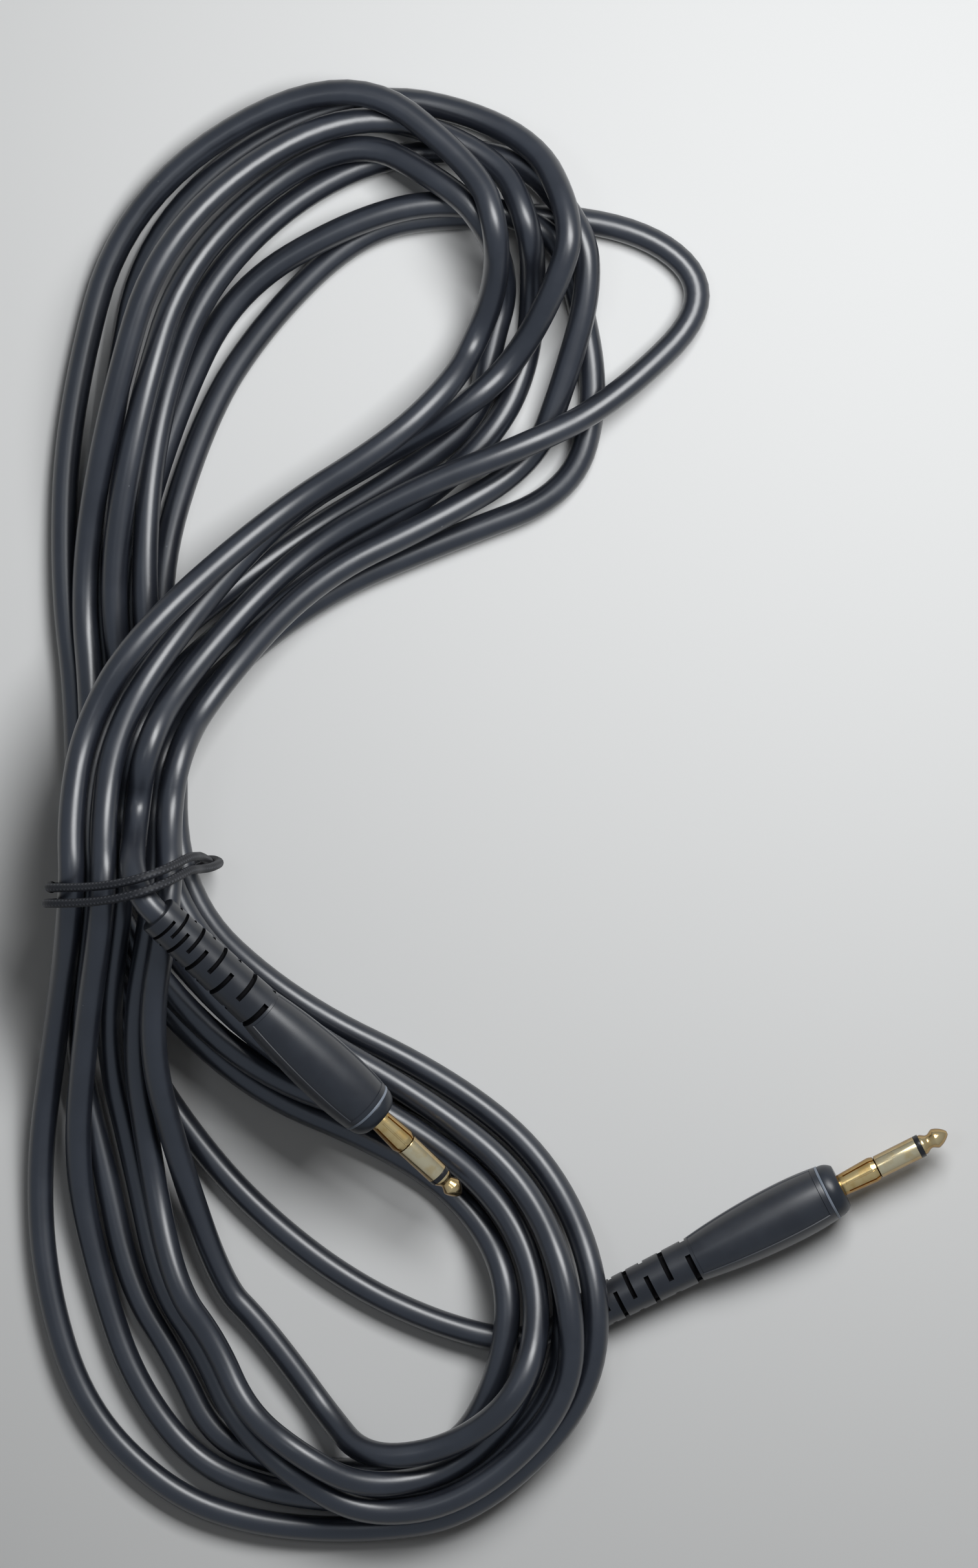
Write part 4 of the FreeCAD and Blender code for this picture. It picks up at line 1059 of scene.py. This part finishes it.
@dataclass
class ElasticTie:
    """The woven elastic, wound twice round the bundle and closed by one bead on the left."""

    radius: float = 1.1
    cover: float = 0.1
    pitch: float = 4.2
    close: float = 3.4
    left: float = -118.0
    width: float = 40.0
    lift: float = 8.6
    clearance: float = 1.9
    hop: float = 3.8
    count: int = 26
    length: float = 0.3223
    knot_radius: float = 1.6
    knot_length: float = 3.2
    knot_end: float = 0.62
    knot_swell: float = 0.3
    knot_rib: float = 0.12
    knot_ribs: int = 3
    knot_steps: int = 24
    knot_crease: float = 50.0
    knot_middle: Vector = field(default_factory=Vector)

    def middle(self, x: float) -> float:
        """The tie's middle line seen from above, level over the left and rising over the right."""
        share = min(1.0, max(0.0, (x - SHIFT[0] - self.left) / self.width))
        return LOBES["bottom"][0].y + SHIFT[1] + self.lift * share ** 3

    def beside(self, turn: float) -> Place:
        """How far beside its middle line the tie runs, and how far out.

        Args:
            turn: the angle of its winding, in radians.

        Returns:
            The two distances in millimetres.
        """
        wide, close = self.pitch / 2, self.close / 2
        sides = (wide, close, -wide, -close, wide)
        half = min(int(turn / math.pi), 3)
        part = turn - half * math.pi
        if half % 2:
            part = min(2 * part, math.pi)
        share = (1 - math.cos(part)) / 2
        hop = self.hop * math.sin(part) if half == 3 else 0.0
        return sides[half] + (sides[half + 1] - sides[half]) * share, hop

    def outline(self, line: list[Vector], cable_radius: float) -> list[Place]:
        """The bundle's outline where the tie passes.

        Args:
            line: the cable's centre line, in metres.
            cable_radius: the cable's radius in millimetres.

        Returns:
            The corners (x, z) of the closed hull round the strands, in millimetres.
        """
        reach = cable_radius + self.radius + self.clearance
        spots = []
        for before, after in zip(line, line[1:]):
            for share in (0.0, 0.25, 0.5, 0.75):
                point = before.lerp(after, share) / MM
                if abs(point.y - self.middle(point.x)) < self.pitch / 2 + 2 * self.radius:
                    for turn in range(16):
                        angle = math.pi * turn / 8
                        spots.append((point.x + reach * math.cos(angle), point.z + reach * math.sin(angle)))
        spots.sort()
        hull: list[Place] = []
        for sequence in (spots, spots[::-1]):
            side: list[Place] = []
            for spot in sequence:
                while len(side) > 1 and ((side[-1][0] - side[-2][0]) * (spot[1] - side[-2][1])
                                         - (side[-1][1] - side[-2][1]) * (spot[0] - side[-2][0])) <= 0:
                    side.pop()
                side.append(spot)
            hull += side[:-1]
        return hull

    @staticmethod
    def reach(hull: list[Place], centre: Place, angle: float) -> float:
        """How far the hull reaches from its centre at an angle.

        Args:
            hull: the hull's corners.
            centre: its centre.
            angle: the angle in radians.

        Returns:
            The distance.
        """
        ray = (math.cos(angle), math.sin(angle))
        for (x1, z1), (x2, z2) in zip(hull, hull[1:] + hull[:1]):
            side = (x2 - x1, z2 - z1)
            cross = ray[0] * side[1] - ray[1] * side[0]
            if abs(cross) < TINY:
                continue
            along = ((x1 - centre[0]) * side[1] - (z1 - centre[1]) * side[0]) / cross
            share = ((x1 - centre[0]) * ray[1] - (z1 - centre[1]) * ray[0]) / cross
            if along > 0 and -TINY <= share <= 1 + TINY:
                return along
        return 0.0

    def points(self, hull: list[Place]) -> list[Vector]:
        """The tie's route: up over the bundle from the left, down, under it, and round once more.

        Args:
            hull: the outline that it is wound round.

        Returns:
            The control points, in metres.
        """
        heights = [z for _, z in hull]
        centre = (sum(x for x, _ in hull) / len(hull), (min(heights) + max(heights)) / 2)
        ring = []
        for index in range(2 * self.count + 1):
            turn = 2 * math.pi * index / self.count
            way = math.pi - turn
            aside, hop = self.beside(turn)
            reach = self.reach(hull, centre, way) + hop
            x = centre[0] + reach * math.cos(way)
            ring.append(Vector((x, self.middle(x) + aside, centre[1] + reach * math.sin(way))))
        self.knot_middle = (ring[0] + ring[-1]) / 2 * MM
        half_knot = Vector((0, 0, self.knot_length / 2))
        lead = Vector((0, 0, 3 * self.radius))
        top = (ring[0] + ring[-1]) / 2 + half_knot
        foot = top - 2 * half_knot
        ring = [top, top + lead] + ring[2:-2] + [foot - lead, foot]
        return [Vector((point.x, point.y, max(point.z, self.radius))) * MM for point in ring]

    def bead(self) -> Piece:
        """The bead that closes the tie: a short barrel with three ribs, where its ends are bound.

        Returns:
            The piece.
        """
        half = self.knot_length / 2
        corners: list[Corner] = [(-half, 0.0)]
        for step in range(self.knot_steps + 1):
            share = step / self.knot_steps
            rib = self.knot_rib * math.cos(2 * math.pi * self.knot_ribs * share)
            swell = math.sin(math.pi * share) ** 0.5 * (self.knot_radius * self.knot_swell - rib)
            corners.append((half * (2 * share - 1), self.knot_radius * self.knot_end + swell))
        corners.append((half, 0.0))
        upright = Matrix.Translation(self.knot_middle) @ Matrix.Rotation(-math.pi / 2, 4, "Y")
        return finished(lathe(corners, steps=32), "tie_bead", upright, crease=self.knot_crease)

    def build(self, shop: PaintShop, cable: CableHank) -> Piece:
        """Wind the tie round the bundle.

        Args:
            shop: where the materials are made.
            cable: the cable that it holds.

        Returns:
            The cord.
        """
        points = self.points(self.outline(centre_line(cable.cord), cable.route.radius))
        cord = cord_object("tie_cord", points, (self.radius + self.cover) * MM, sides=5, steps=8)
        stand_in(cord, shop.material(ELASTIC), "elastic", "cable_tie")
        bead = self.bead()
        stand_in(bead, shop.material(INSULATOR), "elastic", "tie_knot")
        return cord


@dataclass
class PlugPart:
    """One part of a plug, at the plug's place."""

    place: PlugPlace
    shop: PaintShop

    def offer(self, mesh: Mesh, name: str, node: str, slot: str, finish: Finish,
              crease: float = 30.0) -> Piece:
        """Finish a piece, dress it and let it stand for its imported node.

        Args:
            mesh: the bmesh.
            name: the piece's name, without the plug's letter.
            node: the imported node's name, without the letter.
            slot: the record's material slot.
            finish: its finish.
            crease: the angle from which an edge stays sharp.

        Returns:
            The piece.
        """
        piece = finished(mesh, name + self.place.mark, self.place.axes, crease)
        stand_in(piece, self.shop.material(finish, self.place), slot, node + self.place.mark)
        return piece


@dataclass
class Shaft(PlugPart):
    """The contacts: the tip, the insulator, the sleeve, and the slotted spring round the sleeve's root."""

    length: float = 31.75
    radius: float = 3.175
    root_radius: float = 2.4
    bore_radius: float = 1.6
    rod_radius: float = 1.0
    rod_start: float = -15.0
    tube_start: float = -12.5
    hub_start: float = -10.0
    hub_radius: float = 4.2
    flange_start: float = -5.4
    flange_end: float = -3.7
    flange_radius: float = 6.0
    neck_radius: float = 3.6
    ramp: float = 0.35
    ring_start: float = 22.9
    ring_end: float = 24.2
    shoulder: float = 0.6
    ball_radius: float = 2.8
    ball_place: float = 28.15
    ball_arc: float = 6.0
    point_radius: float = 0.5
    waist_radius: float = 1.75
    waist_place: float = 26.4
    spring_length: float = 10.8
    spring_seat: float = 1.6
    spring_slope: float = 9.6
    spring_radius: float = 3.55
    spring_bore: float = 3.0
    slots: int = 8
    slot_half_angle: float = 4.5
    slot_wall: float = 0.04
    slot_depth: float = 0.45

    def tip(self) -> Piece:
        """The tip: a shoulder, a waist, and a ball that runs out to a blunt point.

        Returns:
            The piece.
        """
        ball = (self.ball_place, self.ball_radius)
        corners = [
            (self.rod_start, 0.0), (self.rod_start, self.rod_radius), (self.ring_end, self.rod_radius),
            (self.ring_end, self.ball_radius, 0.1), (self.ring_end + self.shoulder, self.ball_radius, 0.25),
            (self.waist_place, self.waist_radius, 0.6), (*ball, 0.5),
        ]
        corners += arc_between(ball, (self.length, self.point_radius), self.ball_arc, side=1, count=14)
        corners += [(self.length, 0.0)]
        return self.offer(lathe(corners), "tip", "plug_tip", "gold", GOLD, crease=40.0)

    def insulator(self) -> Piece:
        """The insulating tube, with the ring that shows between the tip and the sleeve.

        Returns:
            The piece.
        """
        corners = [
            (self.tube_start, self.rod_radius), (self.tube_start, self.bore_radius),
            (self.ring_start, self.bore_radius), (self.ring_start, self.radius, 0.1),
            (self.ring_end, self.radius, 0.1), (self.ring_end, self.rod_radius),
        ]
        return self.offer(lathe(corners), "insulator", "tip_insulator", "black_plastic", INSULATOR)

    def sleeve(self) -> Piece:
        """The sleeve, with its flange and its hub inside the body.

        Returns:
            The piece.
        """
        corners = [
            (self.hub_start, self.bore_radius), (self.hub_start, self.hub_radius),
            (self.flange_start, self.hub_radius), (self.flange_start, self.flange_radius),
            (self.flange_end, self.flange_radius), (self.flange_end, self.neck_radius),
            (0.0, self.neck_radius), (0.0, self.root_radius), (self.spring_length, self.root_radius),
            (self.spring_length + self.ramp, self.radius, 0.12), (self.ring_start, self.radius, 0.15),
            (self.ring_start, self.bore_radius),
        ]
        return self.offer(lathe(corners), "sleeve", "plug_sleeve", "gold", GOLD_SLEEVE)

    def spring(self) -> Piece:
        """The spring, slit lengthwise from its seat to its free end.

        Returns:
            The piece.
        """
        rise = self.spring_radius - self.spring_bore
        seat_radius = self.spring_bore + rise * self.spring_seat / self.spring_slope
        mesh = lathe([
            (0.0, self.root_radius), (0.0, self.spring_bore, 0.1), (self.spring_seat, seat_radius),
            (self.spring_slope, self.spring_radius, 0.3), (self.spring_length, self.radius),
            (self.spring_length, self.spring_bore), (self.spring_seat, self.root_radius),
        ], steps=160)
        step = 360.0 / self.slots

        def in_slot(x: float, radius: float, angle: float) -> bool:
            """Whether a place of the skin lies in a slit."""
            off = (angle - 90.0 + step / 2) % step - step / 2
            return x > self.spring_seat and radius > seat_radius and abs(off) < self.slot_half_angle

        sink(mesh, in_slot, self.slot_wall, self.slot_depth)
        return self.offer(mesh, "spring", "spring_sleeve", "gold", GOLD_SPRING)

    def build(self) -> list[Piece]:
        """All of the shaft's pieces."""
        return [self.tip(), self.insulator(), self.sleeve(), self.spring()]


@dataclass
class Handle(PlugPart):
    """The moulded handle: the front collar, the pale ring, the body and its slotted strain relief."""

    collar_radius: float = 7.45
    collar_front_radius: float = 5.9
    collar_length: float = 3.7
    collar_arc: float = 4.5
    neck_radius: float = 3.6
    marker_radius: float = 7.7
    body_front: float = -4.4
    body_rear: float = -43.9
    cavity_front: float = -5.4
    cavity_rear: float = -34.4
    flange_radius: float = 6.0
    cavity_radius: float = 5.7
    spigot_radius: float = 4.7
    crown_place: float = 11.0
    crown_radius: float = 8.4
    front_arc: float = 87.0
    rear_arc: float = 177.0
    rear_radius: float = 6.25
    panel_middle: float = 72.0
    panel_half_width: float = 62.0
    panel_front: float = -5.6
    panel_rear: float = -43.2
    panel_wall: float = 0.14
    panel_depth: float = 0.26
    skin: float = 0.4
    relief_end: float = -81.9
    relief_end_radius: float = 5.5
    relief_bore: float = 3.5
    relief_lip: float = 1.5
    slot_rows: int = 9
    slot_start: float = 3.0
    slot_pitch: float = 2.3
    slot_growth: float = 1.165
    slot_width: float = 0.9
    slot_widening: float = 1.07
    slot_first: float = -45.0
    slot_turn: float = 90.0
    slot_half_arc: float = 65.0
    slot_wall: float = 0.07
    slot_depth: float = 1.3

    def collar(self) -> Piece:
        """The rounded front collar.

        Returns:
            The piece.
        """
        shoulder = (-self.collar_length, self.collar_radius)
        front = (0.0, self.collar_front_radius)
        corners = [(-self.collar_length, self.neck_radius), (*shoulder, 0.15)]
        corners += arc_between(shoulder, front, self.collar_arc, side=1, count=14)
        corners += [(0.0, self.neck_radius)]
        return self.offer(lathe(corners, steps=128), "collar", "front_collar", "collar_grey", COLLAR,
                          crease=40.0)

    def marker(self) -> Piece:
        """The pale ring between the collar and the body.

        Returns:
            The piece.
        """
        corners = [
            (self.body_front, self.flange_radius), (self.body_front, self.marker_radius, 0.12),
            (-self.collar_length, self.marker_radius, 0.12), (-self.collar_length, self.flange_radius),
        ]
        return self.offer(lathe(corners, steps=128), "marker", "marker_ring", "marker_grey", MARKER)

    def body(self) -> Piece:
        """The moulded body: a shallow label panel let into its upper side, left bare.

        Returns:
            The piece.
        """
        front = (self.body_front, self.marker_radius)
        crown = (self.body_front - self.crown_place, self.crown_radius)
        corners = [(self.body_front, self.flange_radius), (*front, 0.18)]
        corners += arc_between(front, crown, self.front_arc, side=-1, count=16)
        corners += arc_between(crown, (self.body_rear, self.rear_radius), self.rear_arc, side=-1, count=40)
        corners += [
            (self.body_rear, self.spigot_radius), (self.cavity_rear, self.spigot_radius),
            (self.cavity_rear, self.cavity_radius), (self.cavity_front, self.cavity_radius),
            (self.cavity_front, self.flange_radius),
        ]
        mesh = lathe(corners, steps=144)
        inside = self.cavity_radius + self.skin

        def in_panel(x: float, radius: float, angle: float) -> bool:
            """Whether a place of the skin lies in the panel."""
            across = abs(angle - self.panel_middle) < self.panel_half_width
            return across and radius > inside and self.panel_rear < x < self.panel_front

        sink(mesh, in_panel, self.panel_wall, self.panel_depth)
        return self.offer(mesh, "body", "body_shell", "body_black", BODY, crease=24.0)

    def relief(self) -> Piece:
        """The strain relief: rows of part rings that lie closer together towards the cable, with painted
        shade in the slots.

        Returns:
            The piece.
        """
        swell = (self.rear_radius - self.relief_end_radius) / (self.body_rear - self.relief_end)
        corners = [(self.relief_end, self.relief_bore), (self.relief_end, self.relief_end_radius, 0.4)]
        rows = []
        place, pitch, width = self.slot_start, self.slot_pitch, self.slot_width
        for _ in range(self.slot_rows):
            rows.append((self.relief_end + place, self.relief_end + place + width))
            for run in (place, place + width):
                corners.append((self.relief_end + run, self.relief_end_radius + swell * run))
            place += pitch
            pitch *= self.slot_growth
            width *= self.slot_widening
        lip = self.cavity_rear + self.relief_lip
        corners += [
            (self.body_rear, self.rear_radius), (self.body_rear, self.spigot_radius),
            (self.cavity_rear, self.spigot_radius), (self.cavity_rear, self.cavity_radius),
            (lip, self.cavity_radius), (lip, self.relief_bore),
        ]
        mesh = lathe(corners, steps=144)
        for row, (start, end) in enumerate(rows):
            for middle in (self.slot_first + self.slot_turn * row + half for half in (0.0, 180.0)):

                def in_slot(x: float, radius: float, angle: float) -> bool:
                    """Whether a place of the skin lies in this part ring."""
                    off = (angle - middle + 180.0) % 360.0 - 180.0
                    return start < x < end and radius > self.spigot_radius and abs(off) < self.slot_half_arc

                # The slots' floors and walls get the painted shade finish.
                sink(mesh, in_slot, self.slot_wall, self.slot_depth, paint=1)
        piece = self.offer(mesh, "relief", "strain_relief", "body_black", RELIEF)
        piece.data.materials.append(self.shop.material(SLOT_SHADE))
        return piece

    def build(self) -> list[Piece]:
        """All of the handle's pieces."""
        return [self.collar(), self.marker(), self.body(), self.relief()]


INNER_FINISHES = {
    "inner_liner": LINER, "tip_solder_cup": GOLD, "ground_lug": LUG, "cable_jacket_end": JACKET,
    "cable_shield_end": SHIELD, "core_insulation": CORE, "core_conductor": CONDUCTOR,
}


@dataclass
class PhonePlug:
    """One moulded phone plug, with its wiring inside."""

    place: PlugPlace

    def build(self, frame: dict, shop: PaintShop) -> list[Piece]:
        """Make the plug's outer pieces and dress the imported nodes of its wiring.

        Args:
            frame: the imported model.
            shop: where the materials are made.

        Returns:
            The pieces and the nodes.
        """
        parts = Shaft(self.place, shop).build() + Handle(self.place, shop).build()
        for name, finish in INNER_FINISHES.items():
            node = frame["nodes"][name + self.place.mark]
            dress(node, shop.material(finish, self.place))
            parts.append(node)
        return parts


@dataclass(frozen=True)
class Lamp:
    """An area lamp that faces the hank.

    Its azimuth is in degrees from the right, towards the far side, and its elevation is in
    degrees too. The distance and the size are in metres and the power is in watts.
    """

    name: str
    azimuth: float
    elevation: float
    distance: float
    size: Place
    power: float
    colour: Colour

    def hang(self) -> None:
        """Put the lamp in its place."""
        light = bpy.data.lights.new(self.name, "AREA")
        light.shape = "RECTANGLE"
        light.size, light.size_y = self.size
        light.energy = self.power
        light.color = self.colour
        lamp = add_object(self.name, light)
        way = direction(self.azimuth, self.elevation)
        lamp.location = way * self.distance
        lamp.rotation_euler = way.to_track_quat("Z", "Y").to_euler()


@dataclass
class Studio:
    """A pale floor under soft light, seen from straight above."""

    frame_height: float = 0.4210
    middle: Place = (0.00054, 0.00757)
    distance: float = 2.6
    lens: float = 110.0
    floor_radius: float = 4.0
    floor_colour: Colour = (0.78, 0.785, 0.785)
    even_colour: Colour = (1.0, 0.97, 0.92)
    even_strength: float = 0.06
    pale_colour: Colour = (0.34, 0.39, 0.47)
    lamps: tuple[Lamp, ...] = (
        Lamp("window", azimuth=55.0, elevation=60.0, distance=0.59, size=(0.36, 0.26), power=3.25,
             colour=(0.985, 0.995, 1.0)),
        Lamp("ceiling", azimuth=170.0, elevation=72.0, distance=1.3, size=(0.30, 0.30), power=0.5,
             colour=(0.90, 0.95, 1.0)),
    )

    def build(self) -> None:
        """Set the floor, the lamps, the world and the camera."""
        self.floor()
        for lamp in self.lamps:
            lamp.hang()
        self.world()
        self.camera()
        bpy.context.scene.view_settings.view_transform = "Standard"

    def floor(self) -> None:
        """A wide plain floor."""
        mesh = bmesh.new()
        bmesh.ops.create_circle(mesh, cap_ends=True, radius=self.floor_radius, segments=96)
        data = bpy.data.meshes.new("floor")
        mesh.to_mesh(data)
        mesh.free()
        material = bpy.data.materials.new("floor_pale")
        material.use_nodes = True
        Wiring(material.node_tree).feed(material.node_tree.nodes["Principled BSDF"].inputs, {
            "Base Color": (*self.floor_colour, 1.0), "Roughness": 0.75, "Specular IOR Level": 0.2,
        })
        data.materials.append(material)
        floor = add_object("floor", data)

    def world(self) -> None:
        """Even light all round, and a pale surround for the camera and for gloss."""
        world = bpy.data.worlds.new("studio")
        world.use_nodes = True
        bpy.context.scene.world = world
        wiring = Wiring(world.node_tree)
        even = world.node_tree.nodes["Background"]
        wiring.feed(even.inputs, {"Color": (*self.even_colour, 1.0), "Strength": self.even_strength})
        pale = wiring.add("Background", {"Color": (*self.pale_colour, 1.0)})
        path = wiring.add("LightPath")
        seen = wiring.calc("MAXIMUM", path["Is Camera Ray"], path["Is Transmission Ray"])
        seen = wiring.calc("MAXIMUM", seen, path["Is Glossy Ray"])
        both = wiring.add("MixShader", {"Fac": seen, 1: even.outputs["Background"], 2: pale["Background"]})
        wiring.feed(world.node_tree.nodes["World Output"].inputs, {"Surface": both["Shader"]})

    def camera(self) -> None:
        """The camera, straight above the hank."""
        data = bpy.data.cameras.new("camera")
        data.sensor_fit = "VERTICAL"
        data.sensor_height = self.lens * self.frame_height / self.distance
        data.lens = self.lens
        data.clip_end = 20.0
        camera = add_object("camera", data)
        camera.location = (*self.middle, self.distance)
        bpy.context.scene.camera = camera


def main() -> None:
    """Build the cable piece by piece."""
    logging.basicConfig(level=logging.INFO, format="%(name)s: %(message)s")
    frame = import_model()
    shop = PaintShop()
    Studio().build()
    plugs = {place.letter: PhonePlug(place).build(frame, shop) for place in (PLUG_A, PLUG_B)}
    for letter, parts in plugs.items():
        LOG.info("made plug %s: %s", letter, ", ".join(part.name for part in parts))
    cable = CableHank()
    LOG.info("laid %s", cable.build(shop, plugs["b"]).name)
    LOG.info("wound %s", ElasticTie().build(shop, cable).name)
    bpy.context.view_layer.update()


if __name__ == "__main__":
    main()
